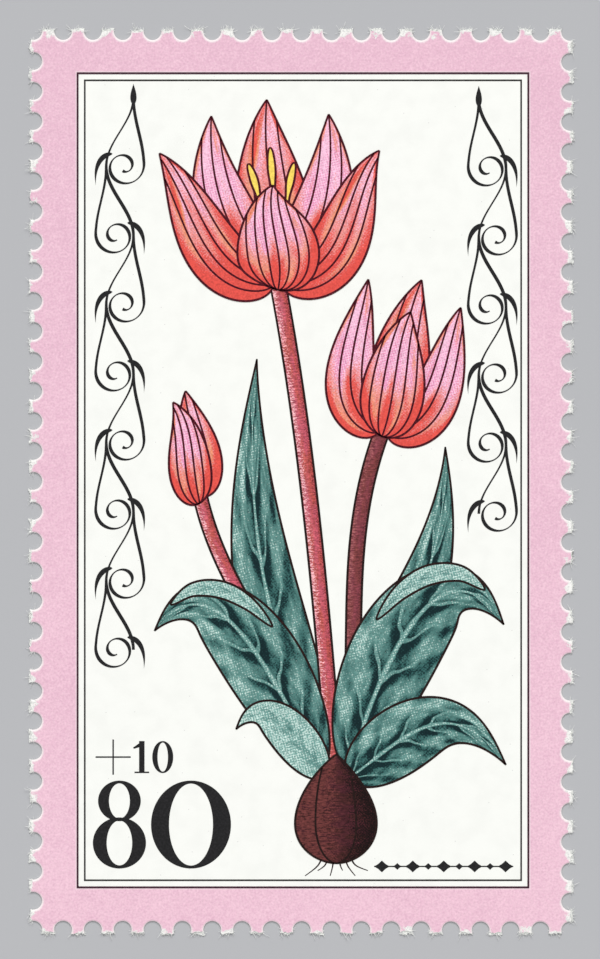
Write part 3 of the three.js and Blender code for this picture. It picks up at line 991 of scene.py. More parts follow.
def printed(piece: Object, name: str, dress: Dress, replaced: str) -> None:
    """Moves a piece from the print's own middle to its place on the sheet, and finishes it.

    Args:
        piece: The piece, drawn in millimetres.
        name: Its name.
        dress: Its finish.
        replaced: The solid that it stands for.
    """
    alone(piece)
    bpy.ops.transform.translate(value=(*PRINT_MIDDLE, 0))
    finished(piece, name, dress, [replaced])


# Curves and strips.


def turned(point: Point, angle: float, start: Point = (0.0, 0.0)) -> Point:
    """A point turned about the origin, and then counted from a start."""
    (x, y), cosine, sine = point, math.cos(angle), math.sin(angle)
    return start[0] + x * cosine - y * sine, start[1] + x * sine + y * cosine


@dataclass(frozen=True)
class Cubic:
    """A curve with four corners."""

    corners: tuple[Point, Point, Point, Point]

    def at(self, share: float) -> Point:
        """The point at a share of the curve.

        Args:
            share: The share of the curve, from 0 to 1.

        Returns:
            The point.
        """
        rest = 1 - share
        weights = (rest**3, 3 * rest**2 * share, 3 * rest * share**2, share**3)
        return tuple(sum(w * c[axis] for w, c in zip(weights, self.corners)) for axis in (0, 1))


@dataclass(frozen=True)
class Through:
    """A smooth curve through a row of points."""

    points: tuple[Point, ...]

    def at(self, share: float) -> Point:
        """The point at a share of the curve.

        Args:
            share: The share of the curve, from 0 to 1.

        Returns:
            The point.
        """
        place = share * (len(self.points) - 1)
        start = min(int(place), len(self.points) - 2)
        step = place - start
        before, first, second, after = (
            self.points[min(max(start + i, 0), len(self.points) - 1)] for i in (-1, 0, 1, 2)
        )

        def part(axis: int) -> float:
            """One coordinate.

            Args:
                axis: 0 for x, and 1 for y.

            Returns:
                The coordinate.
            """
            a, b, c, d = before[axis], first[axis], second[axis], after[axis]
            slope, slope_end = (c - a) / 2, (d - b) / 2
            cubic = 2 * b - 2 * c + slope + slope_end
            square = 3 * c - 3 * b - 2 * slope - slope_end
            return cubic * step**3 + square * step**2 + slope * step + b

        return part(0), part(1)


Curve = Union[Cubic, Through]


def direction(curve: Curve, share: float) -> Point:
    """The unit tangent of a curve at a share of it.

    Args:
        curve: The curve.
        share: The share of it, from 0 to 1.

    Returns:
        The tangent, of length 1.
    """
    before, after = max(0.0, share - TANGENT_STEP), min(1.0, share + TANGENT_STEP)
    (x0, y0), (x1, y1) = curve.at(before), curve.at(after)
    length = math.hypot(x1 - x0, y1 - y0)
    return (x1 - x0) / length, (y1 - y0) / length


def beside(curve: Curve, share: float, left: float) -> Point:
    """The point at a distance to the left of a curve."""
    (x, y), (dx, dy) = curve.at(share), direction(curve, share)
    return x - dy * left, y + dx * left


def even_shares(steps: int) -> list[float]:
    """Shares from 0 to 1, evenly spaced."""
    return [i / steps for i in range(steps + 1)]


def eased_shares(steps: int) -> list[float]:
    """Shares from 0 to 1, closer together towards both ends."""
    return [(1 - math.cos(math.pi * share)) / 2 for share in even_shares(steps)]


def strip(path: Sequence[Point], half_widths: Sequence[float], columns: int, rows: int) -> Object:
    """A flat strip along a path, with a width of its own at each point.

    Args:
        path: The points of its middle line.
        half_widths: Half the strip's width at each point.
        columns: How many faces it has along.
        rows: How many faces it has across.

    Returns:
        The strip, at height 0, with its length and width as its UV map.
    """
    guide_curve = bpy.data.curves.new("guide", "CURVE")
    guide_curve.dimensions = "2D"
    guide_curve.use_radius = guide_curve.use_stretch = guide_curve.use_deform_bounds = True
    line = guide_curve.splines.new("POLY")
    line.points.add(len(path) - 1)
    for corner, (x, y), half_width in zip(line.points, path, half_widths):
        corner.co = (x, y, 0, 1)
        corner.radius = half_width
    guide = bpy.data.objects.new("guide", guide_curve)
    bpy.context.scene.collection.objects.link(guide)
    grid = bpy.ops.mesh.primitive_grid_add
    piece = added(grid, x_subdivisions=columns, y_subdivisions=rows, size=2, calc_uvs=True)
    applied(piece, "CURVE", {"object": guide, "deform_axis": "POS_X"})
    thrown_away(guide)
    with editing(piece):
        bpy.ops.mesh.remove_doubles(threshold=POINTED_END)
    return piece


def drawn(
    path: Sequence[Point],
    half_widths: Sequence[float],
    columns: int,
    rows: int = 1,
    top: float = ORNAMENT_TOP,
) -> Object:
    """A printed strip up to a height, which reaches a little way down into the paper."""
    return thickened(strip(path, half_widths, columns, rows), PICTURE_BASE, top)


# The sheet: paper, gum and border ink, with torn teeth between round holes.


@dataclass(frozen=True)
class Tear:
    """A torn outline.

    Attributes:
        reach: How far the outline lies outside the holes' centre line.
        coarse: How far its points are moved at random, a few to a tooth.
        fine: The same for the small points between them.
        seed: The seed of both.
    """

    reach: float
    coarse: float
    fine: float
    seed: int

    EVENNESS = 0.3  # how much alike the random moves are, from 0 to 1
    CUTS = 2  # the number of small points between two coarse ones


CORE_TEAR = Tear(reach=0.1, coarse=0.1, fine=0.04, seed=3)
FACE_TEAR = Tear(reach=0.045, coarse=0.1, fine=0.04, seed=18)
INK_TEAR = Tear(reach=0.025, coarse=0.1, fine=0.04, seed=18)
GUM_TEAR = Tear(reach=-0.02, coarse=0.05, fine=0.02, seed=23)


@dataclass
class Sheet:
    """The perforated sheet.

    Attributes:
        width: The distance between the centre lines of the holes on the left and right.
        height: The same from bottom to top.
        across: The number of pitches across.
        down: The number of pitches down.
        hole_radius: The holes' radius.
        hole_sides: The number of sides of a hole.
        rounding: How far below the paper's top, and how much wider, each ring of a hole's rim is.
        ink_depth: How far down into the rim the border's ink reaches.
        ink_cover: How thick the ink is.
        core_top: The height up to which the paper is whole on the torn teeth.
        overlap: How far the paper's face reaches down into the core.
        gum_back: How much wider the holes are in the gum.
        beyond: How far a cutting piece reaches past what it cuts.
        points_a_pitch: The number of coarse points of a torn outline in each pitch.
        further: How much further a torn outline reaches at the left, right, bottom and top.
        frame_line: How much smaller the border's window is than the outer frame.
        window_top: The height up to which the window is cut.
    """

    width: float = SHEET_SIZE[0]
    height: float = SHEET_SIZE[1]
    across: int = PITCHES[0]
    down: int = PITCHES[1]
    hole_radius: float = HOLE_RADIUS
    hole_sides: int = 40
    rounding: tuple[tuple[float, float], ...] = ((0.05, 0.0), (0.03, 0.012), (0.012, 0.04), (0.0, 0.085))
    ink_depth: float = 0.03
    ink_cover: float = 0.005
    core_top: float = 0.06
    overlap: float = 0.01
    gum_back: float = 0.04
    beyond: float = 0.1
    points_a_pitch: int = 7
    further: tuple[float, float, float, float] = (0.07, 0.015, 0.02, 0.012)
    frame_line: float = 0.09
    window_top: float = 0.3

    def torn_film(self, tear: Tear, bottom: float, top: float) -> Object:
        """A film with a torn outline.

        Args:
            tear: The shape of its outline.
            bottom: The height of its underside.
            top: The height of its upper side.

        Returns:
            The film.
        """
        left, right, bottom_side, top_side = (tear.reach + further for further in self.further)
        width, height = self.width + left + right, self.height + bottom_side + top_side
        shift = ((right - left) / 2, (top_side - bottom_side) / 2, 0)
        film = added(
            bpy.ops.mesh.primitive_grid_add,
            x_subdivisions=self.across * self.points_a_pitch,
            y_subdivisions=self.down * self.points_a_pitch,
            size=1,
            calc_uvs=False,
        )
        with editing(film):
            sized(width, height)
        edge = 0.01  # what lies further in than this is deleted, so that the outline is left
        with editing(film, lambda p: abs(p.x) < width / 2 - edge and abs(p.y) < height / 2 - edge):
            bpy.ops.mesh.delete(type="VERT")
        with editing(film):
            bpy.ops.transform.vertex_random(offset=tear.coarse, uniform=tear.EVENNESS, seed=tear.seed)
            bpy.ops.mesh.subdivide(number_cuts=tear.CUTS)
            bpy.ops.transform.vertex_random(offset=tear.fine, uniform=tear.EVENNESS, seed=tear.seed + 1)
            sized(1, 1, 0)
            bpy.ops.transform.translate(value=shift)
            bpy.ops.mesh.edge_face_add()
        return thickened(film, bottom, top)

    def hole_places(self) -> list[Matrix]:
        """Places the holes along all four sides.

        Returns:
            The middle of each hole.
        """
        places = []
        for i in range(self.across + 1):
            for j in range(self.down + 1):
                if i in (0, self.across) or j in (0, self.down):
                    x = (i / self.across - 0.5) * self.width
                    y = (j / self.down - 0.5) * self.height + (0 if j else BOTTOM_RISE)
                    places.append(Matrix.Translation((x, y - HOLE_SLANT * x, 0)))
        return places

    def punches(self, sections: Sequence[tuple[float, float]]) -> Object:
        """All the punches as one object.

        Args:
            sections: The height and radius of each ring of a punch, from its foot up.

        Returns:
            The punches, each at its hole.
        """
        (foot, first_radius), *upper = sections
        circle, place = bpy.ops.mesh.primitive_circle_add, (0, 0, foot)
        punch = added(
            circle, vertices=self.hole_sides, radius=first_radius, fill_type="NGON", location=place
        )
        bpy.ops.object.transform_apply(location=True, rotation=True, scale=True)
        height, radius = foot, first_radius
        with editing(punch):
            for next_height, next_radius in upper:
                rise = {"value": (0, 0, next_height - height)}
                bpy.ops.mesh.extrude_region_move(TRANSFORM_OT_translate=rise)
                grow = next_radius / radius
                sized(grow, grow, height=next_height)
                height, radius = next_height, next_radius
            faced_outwards()
        return repeated(punch, self.hole_places())

    def rounded_holes(self, film: Object, cover: float) -> Object:
        """Cuts holes with rounded rims.

        Args:
            film: The paper, or the ink that follows its rims.
            cover: How thick the ink is, or 0 for the paper.

        Returns:
            The same film with its holes.
        """
        rings = [
            (PAPER_TOP - depth + cover, self.hole_radius + wider - cover) for depth, wider in self.rounding
        ]
        sections = [(-self.beyond, rings[0][1]), *rings, (PAPER_TOP + self.beyond, rings[-1][1])]
        return combined(film, self.punches(sections), "DIFFERENCE")

    def paper(self) -> Object:
        """The paper: a ragged core, and its face torn back a little from the core's edge.

        Returns:
            The paper, with its holes.
        """
        core = self.torn_film(CORE_TEAR, GUM_TOP, self.core_top)
        face = self.torn_film(FACE_TEAR, self.core_top - self.overlap, PAPER_TOP)
        return self.rounded_holes(combined(core, face, "UNION"), 0.0)

    def gum(self) -> Object:
        """The gum film, which stops short of the paper's edge.

        Returns:
            The film, with its holes.
        """
        film = self.torn_film(GUM_TEAR, 0, GUM_TOP)
        radius = self.hole_radius + self.gum_back
        return combined(film, self.punches([(-self.beyond, radius), (self.beyond, radius)]), "DIFFERENCE")

    def border(self) -> Object:
        """The border's ink, which follows the paper's face from the frame line to the torn edge.

        Returns:
            The ink, with its holes and the window for the print.
        """
        ink = self.torn_film(INK_TEAR, PAPER_TOP - self.ink_depth, BORDER_TOP)
        ink = self.rounded_holes(ink, self.ink_cover)
        window = added(bpy.ops.mesh.primitive_plane_add, size=1)
        with editing(window):
            sized(*(side - self.frame_line for side in OUTER_FRAME))
            bpy.ops.transform.translate(value=(*PRINT_MIDDLE, 0))
        return combined(ink, thickened(window, 0, self.window_top), "DIFFERENCE")

    def build(self) -> None:
        """Builds and dresses the sheet."""
        finished(self.gum(), "sheet_gum", Dress.GUM, ["gum_film"])
        finished(self.paper(), "sheet_paper", Dress.PAPER, ["paper_sheet"])
        finished(self.border(), "sheet_border", Dress.BORDER, ["border_ink"])


@dataclass
class TornFibres:
    """Loose paper fibres that stand out of the torn teeth.

    Attributes:
        sheet: The sheet that they stand out of.
        a_tooth: The number of fibres on a tooth.
        radius: The radius of a fibre at its root.
        bends: The number of bends in a fibre.
        curl: How much further a fibre turns aside at each bend, in its own radii.
        taper: How thin it is after a bend, as a share of what it was.
        spread: How far to each side of a tooth's middle they stand.
        lengths: The least length, how much longer a fibre may be, and how much longer a rare one.
        rarity: How rare those are.
        thickness: The least and greatest radius, as shares of the usual one.
        reach: How far outside the tooth's tip they start, at the least and the most.
        aside: How far they turn aside at random, in radians.
        fan: How much further they turn with each millimetre from the tooth's middle.
        heights: The least and greatest height of a root.
        tilt: The least and greatest tilt, which is negative upwards, in radians.
        lean: How far they may be rolled out of the sheet's plane, in radians.
        seed: The seed of their places.
    """

    sheet: Sheet
    a_tooth: int = 34
    radius: float = 0.0145
    bends: int = 4
    curl: float = 0.4
    taper: float = 0.8
    spread: float = 0.28
    lengths: tuple[float, float, float] = (0.09, 0.13, 0.3)
    rarity: int = 10
    thickness: tuple[float, float] = (0.6, 1.15)
    reach: tuple[float, float] = (-0.05, 0.07)
    aside: float = 0.95
    fan: float = 1.6
    heights: tuple[float, float] = (GUM_TOP + 0.022, PAPER_TOP - 0.015)
    tilt: tuple[float, float] = (-0.14, 0.01)
    lean: float = 0.5
    seed: int = 5

    def fibre(self) -> Object:
        """One fibre along X, of length and radius 1, bent and tapered.

        Returns:
            The fibre.
        """
        fibre = added(bpy.ops.mesh.primitive_circle_add, vertices=4, radius=1, fill_type="NGON")
        with editing(fibre):
            bpy.ops.transform.rotate(value=math.pi / 2, orient_axis="Y", center_override=(0, 0, 0))
            for bend in range(self.bends):
                step = (1 / self.bends, self.curl * (0.5 + bend), 0)
                bpy.ops.mesh.extrude_region_move(TRANSFORM_OT_translate={"value": step})
                bpy.ops.transform.resize(value=(1, self.taper, self.taper))
            faced_outwards()
        bpy.ops.object.shade_smooth()
        return fibre

    def place(self, chance: random.Random, tooth: Point, outward: float) -> Matrix:
        """A random place for one fibre on a tooth.

        Args:
            chance: The random numbers.
            tooth: The middle of the tooth's tip.
            outward: The direction that the tooth points in.

        Returns:
            The fibre's place, turn and size.
        """
        least, longer, rare_longer = self.lengths
        length = least + longer * chance.random() + rare_longer * chance.random() ** self.rarity
        thick = self.radius * chance.uniform(*self.thickness)
        along, reach = chance.uniform(-self.spread, self.spread), chance.uniform(*self.reach)
        turn = outward + chance.gauss(0, self.aside) + self.fan * along
        root = turned((reach, along), outward, tooth)
        moved = Matrix.Translation((*root, chance.uniform(*self.heights)))
        aimed = Matrix.Rotation(turn, 4, "Z") @ Matrix.Rotation(chance.uniform(*self.tilt), 4, "Y")
        lean = chance.uniform(0, self.lean)
        rolled = Matrix.Rotation(chance.choice((lean, math.pi - lean)), 4, "X")
        return moved @ aimed @ rolled @ Matrix.Diagonal((length, thick, thick, 1))

    def teeth(self, side: int) -> tuple[list[Point], float]:
        """The teeth of one side.

        Args:
            side: 0 for the bottom, then 1, 2 and 3 the other way round from a clock's.

        Returns:
            The middle of each tooth's tip, and the direction that they point in.
        """
        sheet = self.sheet
        outward = math.radians(90 * side - 90)
        pitches = sheet.down if side % 2 else sheet.across
        length, reach = (sheet.height, sheet.width / 2) if side % 2 else (sheet.width, sheet.height / 2)
        places = [((tooth + 0.5) / pitches - 0.5) * length for tooth in range(pitches)]
        return [turned((reach, along), outward) for along in places], outward

    def build(self) -> None:
        """Builds and dresses the fibres, a piece for each side."""
        chance = random.Random(self.seed)
        for side, name in enumerate(("bottom", "right", "top", "left")):
            tips, outward = self.teeth(side)
            places = [self.place(chance, tip, outward) for tip in tips for _ in range(self.a_tooth)]
            finished(repeated(self.fibre(), places), f"torn_fibres_{name}", Dress.FIBRE)


# The picture: tulips with lance leaves growing from a bulb.


class Profile(Enum):
    """How the width of a blade changes along it: the powers at its root and at its tip."""

    PETAL = (0.5, 0.95)
    LEAF = (0.6, 1.15)
    FOLD = (0.9, 0.9)
    BULB = (0.55, 0.9)
    STEM = (0.0, 0.0)
    STAMEN = None

    def width(self, share: float) -> float:
        """The width at a share of the length.

        Args:
            share: The share, from the root at 0 to the tip at 1.

        Returns:
            The width, as a share of the greatest.
        """
        if self is Profile.STEM:
            return 1.0
        if self is Profile.STAMEN:  # a thin thread, and a thicker rounded end
            swell = min(max((share - 0.5) / 0.3, 0.0), 1.0)
            return math.sqrt(1 - share**8) * (0.45 + 0.55 * swell**2 * (3 - 2 * swell))
        rise, fall = self.value
        widest = self.widest()
        return share**rise * (1 - share) ** fall / (widest**rise * (1 - widest) ** fall)

    def widest(self) -> float:
        """The share of the length at which a leaf, petal or bulb is widest."""
        rise, fall = self.value
        return rise / (rise + fall)


@dataclass(frozen=True)
class Blade:
    """A leaf, petal, stem or bulb: a midrib with a width along it.

    Attributes:
        name: The name of the solid that it stands for.
        dress: Its finish.
        half_width: Half its greatest width.
        profile: How its width changes.
        midrib: Its middle line, from the root.
        contours: The lines along it, each as a share of the half width to the left.
        rows: The number of faces across it.
    """

    name: str
    dress: Dress
    half_width: float
    profile: Profile
    midrib: Curve
    contours: tuple[float, ...] = ()
    rows: int = 8

    LINE = 0.053  # half the width of its outline
    CONTOUR = 0.046  # half the width of a line along it
    APART = 0.5  # how far the lines stay apart past the widest place, from 0, not, to 1, all the way
    PEN_END = 0.75  # a line's width at its ends, as a share of the full one
    PEN_SWELL = 0.3  # how much wider it is in its middle
    FILL_POINTS = 90  # the number of steps along its film of ink
    LINE_POINTS = 80  # the same along a line
    COLUMNS = 110  # the number of faces along both
    END_STEPS = 200  # how finely the end of a line is looked for

    def width(self, share: float) -> float:
        """Half the width at a share of the length."""
        return self.half_width * self.profile.width(share)

    def at(self, share: float, across: float) -> Point:
        """A point on it, by its share of the length and of the half width to the left."""
        return beside(self.midrib, share, across * self.width(share))

    def spread(self, share: float) -> float:
        """How far apart the lines along it lie at a share of the length, as a share of the greatest."""
        width = self.profile.width(share)
        return width if share < self.profile.widest() else width + self.APART * (1 - width)

    def line_end(self, across: float) -> float:
        """The share of the length where a line along it meets the outline."""
        shares, width = even_shares(self.END_STEPS), self.profile.width
        return max(share for share in shares if abs(across) * self.spread(share) <= width(share))

    def fill(self, top: float) -> Object:
        """The blade's own film of ink.

        Args:
            top: The height of its upper side.

        Returns:
            The film.
        """
        shares = eased_shares(self.FILL_POINTS)
        path = [self.midrib.at(share) for share in shares]
        return drawn(path, [self.width(share) for share in shares], self.COLUMNS, self.rows, top)

    def stroke(self, path: Sequence[Point], half_width: float, top: float) -> Object:
        """A pen line, which swells a little in the middle and thins towards its ends.

        Args:
            path: The points of its middle line.
            half_width: Half its width.
            top: The height of its upper side.

        Returns:
            The line.
        """
        steps = len(path) - 1
        swells = [math.sin(math.pi * i / steps) ** 0.5 for i in range(steps + 1)]
        widths = [half_width * (self.PEN_END + self.PEN_SWELL * swell) for swell in swells]
        return drawn(path, widths, self.COLUMNS, top=top)

    def outline(self, side: int, top: float) -> Object:
        """The outline on one side, up to a height."""
        path = [self.at(share, side) for share in eased_shares(self.LINE_POINTS)]
        return self.stroke(path, self.LINE, top)

    def contour(self, across: float, top: float) -> Object:
        """A line along the blade.

        Args:
            across: Its place, as a share of the half width to the left.
            top: The height of its upper side.

        Returns:
            The line.
        """
        end, reach = self.line_end(across), across * self.half_width
        places = [end * share for share in eased_shares(self.LINE_POINTS)]
        path = [beside(self.midrib, place, reach * self.spread(place)) for place in places]
        return self.stroke(path, self.CONTOUR, top)

    def lines(self, top: float) -> list[Object]:
        """The outline and the lines along the blade, up to a height."""
        outline = [self.outline(side, top) for side in (-1, 1)]
        return outline + [self.contour(across, top) for across in self.contours]


FOLD_PLACE = 0.74  # a fold lies this far out, as a share of its leaf's half width
FOLD_WIDTH = 0.3  # its half width, as a share of its leaf's
STAMEN_HALF_WIDTH = 0.2


def leaf(name: str, half_width: float, *corners: Point, dress: Dress = Dress.LEAF) -> Blade:
    """A leaf."""
    return Blade(name, dress, half_width, Profile.LEAF, Cubic(corners), rows=12)


def stem(name: str, dress: Dress, half_width: float, *corners: Point) -> Blade:
    """A stem."""
    return Blade(name, dress, half_width, Profile.STEM, Cubic(corners), rows=4)


def fold(name: str, leaf_blade: Blade, start: float, end: float, side: int) -> Blade:
    """A leaf's edge that is folded over, so that its pale back shows.

    Args:
        name: The fold's name.
        leaf_blade: The leaf.
        start: The share of the leaf's length where the fold starts.
        end: The share where it ends.
        side: 1 on the left of the leaf's midrib, -1 on its right.

    Returns:
        The fold.
    """
    shares = [start + (end - start) * share for share in even_shares(4)]
    midrib = Through(tuple(leaf_blade.at(share, side * FOLD_PLACE) for share in shares))
    half_width = FOLD_WIDTH * leaf_blade.width((start + end) / 2)
    return Blade(name, Dress.LEAF_BACK, half_width, Profile.FOLD, midrib)


@dataclass(frozen=True)
class Flower:
    """A flower head, drawn upright round the end of its stem and then turned.

    Attributes:
        name: Its name.
        base: The end of its stem.
        turn: How far it is turned, in degrees.
    """

    name: str
    base: Point
    turn: float

    def midrib(self, corners: Sequence[Point]) -> Cubic:
        """A midrib in its place in the picture."""
        return Cubic(tuple(turned(corner, math.radians(self.turn), self.base) for corner in corners))

    def petal(
        self, part: str, dress: Dress, half_width: float, contours: tuple[float, ...], *corners: Point
    ) -> Blade:
        """A petal of this flower."""
        name = f"{self.name}_{part}"
        return Blade(name, dress, half_width, Profile.PETAL, self.midrib(corners), contours, rows=12)

    def stamen(self, part: str, *corners: Point) -> Blade:
        """A stamen of this flower."""
        name = f"{self.name}_{part}"
        return Blade(name, Dress.STAMEN, STAMEN_HALF_WIDTH, Profile.STAMEN, self.midrib(corners), rows=4)


@dataclass
class Picture:
    """The picture: its blades from back to front, each under its own lines.

    Attributes:
        base: The height of the first blade's upper side.
        root_count: The number of roots under the bulb.
        root_middle: The place across the print of the bulb's foot.
        root_heights: The heights at which a root starts, bends and ends.
        root_spreads: How far apart the outermost roots are there.
        root_shorter: How much shorter every other root is.
        root_line: Half a root's width.
        root_swell: How wide it is where it starts, as a share of that.
        root_taper: How much thinner it is where it ends, as a share of that.
        root_points: The number of steps along it.
    """

    base: float = PAPER_TOP + 0.0016
    root_count: int = 6
    root_middle: float = 1.6
    root_heights: tuple[float, float, float] = (-17.7, -18.4, -18.9)
    root_spreads: tuple[float, float, float] = (1.2, 1.6, 3.0)
    root_shorter: float = 0.25
    root_line: float = 0.045
    root_swell: float = 1.1
    root_taper: float = 0.6
    root_points: int = 24

    def plant(self) -> list[Blade]:
        """The leaves, stems and bulb.

        Returns:
            The blades, from back to front.
        """
        left = leaf("leaf_left", 1.9, (0.9, -13.9), (-2, -8.2), (-4.4, -3.6), (-7.1, -7.2))
        right = leaf("leaf_right", 2.1, (2.2, -13.9), (4, -7.6), (6.9, -2.6), (9.6, -6.9))
        bulb_line = Cubic(((1.6, -18.3), (1.6, -16.6), (1.5, -15), (1.6, -13.1)))
        low_left = [(1.1, -14.2), (-0.3, -12.6), (-1.8, -9.8), (-3.2, -11.9)]
        return [
            leaf("leaf_tall_left", 1.6, (1.1, -13.6), (-1.6, -8), (-3, -2), (-2.2, 5.8)),
            leaf("leaf_tall_right", 1.5, (1.9, -13.6), (3.8, -8.5), (7, -5), (6.8, 1.6)),
            stem("stem_right", Dress.STEM_DARK, 0.36, (1.9, -13.8), (3, -8.6), (1.6, -3.4), (3.8, 2.4)),
            stem("stem_left", Dress.STEM, 0.33, (1.2, -13.8), (-0.6, -8.4), (-3.8, -5.6), (-4.9, -0.8)),
            stem("stem_middle", Dress.STEM, 0.37, (1.5, -13.8), (0.9, -6), (0.2, 2), (-1.2, 9.4)),
            left,
            fold("leaf_left_fold", left, 0.42, 0.88, -1),
            right,
            fold("leaf_right_fold", right, 0.4, 0.86, 1),
            leaf("leaf_low_right", 1.6, (2.1, -14.3), (4.6, -12.6), (6.9, -9.6), (9.7, -13.6)),
            leaf("leaf_low_left", 1.05, *low_left, dress=Dress.LEAF_BACK),
            Blade("bulb", Dress.BULB, 1.95, Profile.BULB, bulb_line, (-0.5, 0.5), rows=12),
        ]

    def open_bloom(self) -> list[Blade]:
        """The open flower at the top.

        Returns:
            The blades, from back to front.
        """
        bloom = Flower("bloom_open", (-1.2, 9.2), 4)
        back, front = (-0.45, 0, 0.45), (-0.75, -0.5, -0.25, 0, 0.25, 0.5, 0.75)
        side = (-0.55, -0.2, 0.15, 0.5)
        pink, coral, near = Dress.PINK, Dress.CORAL, Dress.PINK_FRONT
        return [
            bloom.petal("petal_back_middle", coral, 1.8, back, (0, 0.8), (0.3, 3), (-0.4, 6), (0.1, 9)),
            bloom.petal("petal_back_left", pink, 1.5, back, (-0.5, 0.8), (-2.2, 2.4), (-3, 5.2), (-2.6, 8.4)),
            bloom.petal("petal_back_right", pink, 1.5, back, (0.5, 0.8), (2.4, 2.2), (3.1, 5), (3, 8.1)),
            bloom.stamen("stamen_left", (-0.4, 2.4), (-0.5, 3.6), (-0.6, 4.8), (-1, 6)),
            bloom.stamen("stamen_right", (0.5, 2.4), (0.6, 3.6), (0.8, 4.7), (1.2, 5.9)),
            bloom.stamen("stamen_middle", (0.1, 2.4), (0.1, 3.8), (0.1, 5.2), (0.1, 6.7)),
            bloom.petal("petal_left", coral, 1.4, side, (-0.2, 0.2), (-3.6, 0.6), (-3.5, 4.4), (-5.2, 6.8)),
            bloom.petal("petal_right", coral, 1.4, side, (0.2, 0.2), (3.8, 0.3), (3.4, 4.2), (5.3, 6.2)),
            bloom.petal("petal_front", near, 1.95, front, (0, -0.1), (0.5, 1.6), (-0.4, 3.3), (0.1, 4.9)),
        ]

    def side_bloom(self) -> list[Blade]:
        """The flower on the right.

        Returns:
            The blades, from back to front.
        """
        bloom = Flower("bloom_side", (3.8, 2.2), -12)
        back, front = (-0.45, 0, 0.45), (-0.7, -0.35, 0, 0.35, 0.7)
        pink, coral, near = Dress.PINK, Dress.CORAL, Dress.PINK_FRONT
        return [
            bloom.petal("petal_back", coral, 1.45, back, (0, 0.5), (0.4, 2.6), (-0.2, 5), (0.3, 7.6)),
            bloom.petal("petal_left", pink, 1.2, back, (-0.2, 0.1), (-2.8, 0.9), (-2.1, 4.2), (-2.2, 7.1)),
            bloom.petal("petal_right", pink, 1.2, back, (0.2, 0.1), (2.8, 0.8), (2.1, 4.2), (2.4, 6.7)),
            bloom.petal("petal_front", near, 1.5, front, (0, -0.1), (0.3, 1.8), (-0.3, 4), (0.1, 6)),
        ]

    def bud(self) -> list[Blade]:
        """The bud on the left.

        Returns:
            The blades, from back to front.
        """
        bud = Flower("bud", (-4.9, -1), 12)
        back, front = (-0.4, 0.1), (-0.6, -0.2, 0.2, 0.6)
        coral, near = Dress.CORAL, Dress.PINK_FRONT
        return [
            bud.petal("petal_back", coral, 1, back, (0.1, 0.2), (0.7, 1.8), (0.3, 3.6), (0.4, 5.3)),
            bud.petal("petal_front", near, 1, front, (-0.1, -0.1), (-0.5, 1.4), (0.4, 3.2), (-0.3, 4.9)),
        ]

    def roots(self, top: float) -> list[Object]:
        """The bulb's thin roots.

        Args:
            top: The height of their upper side.

        Returns:
            The roots, from left to right.
        """
        strands = []
        for i in range(self.root_count):
            share = i / (self.root_count - 1) - 0.5
            start, bend, (x, y) = (
                (self.root_middle + spread * share, height)
                for spread, height in zip(self.root_spreads, self.root_heights)
            )
            curve = Cubic((start, bend, bend, (x, y + self.root_shorter * (i % 2))))
            shares = even_shares(self.root_points)
            widths = [self.root_line * (self.root_swell - self.root_taper * share) for share in shares]
            strands.append(drawn([curve.at(share) for share in shares], widths, self.root_points, top=top))
        return strands

    def layered(
        self, name: str, line: Dress, blades: Sequence[Blade], height: float, lines: Sequence[Object] = ()
    ) -> float:
        """Builds blades one over the other.

        Args:
            name: The name of the group.
            line: The finish of its lines.
            blades: The blades, from back to front.
            height: The height of the first blade's upper side.
            lines: Lines that lie under the blades, which go into the group's lines.

        Returns:
            The height above the last one's lines.
        """
        for blade in blades:
            printed(blade.fill(height), f"printed_{blade.name}", blade.dress, blade.name)
            lines = [*lines, *blade.lines(height + LAYER_STEP)]
            height += 2 * LAYER_STEP
        printed(joined(lines), f"lines_{name}", line, "picture_key_line")
        return height

    def build(self) -> None:
        """Builds and dresses the picture."""
        above = self.layered("plant", Dress.PLANT_LINE, self.plant(), self.base, self.roots(self.base))
        self.layered("bloom_open", Dress.FLOWER_LINE, self.open_bloom(), above)
        self.layered("bloom_side", Dress.FLOWER_LINE, self.side_bloom(), above)
        self.layered("bud", Dress.FLOWER_LINE, self.bud(), above)


# The ornaments and numerals round the picture.


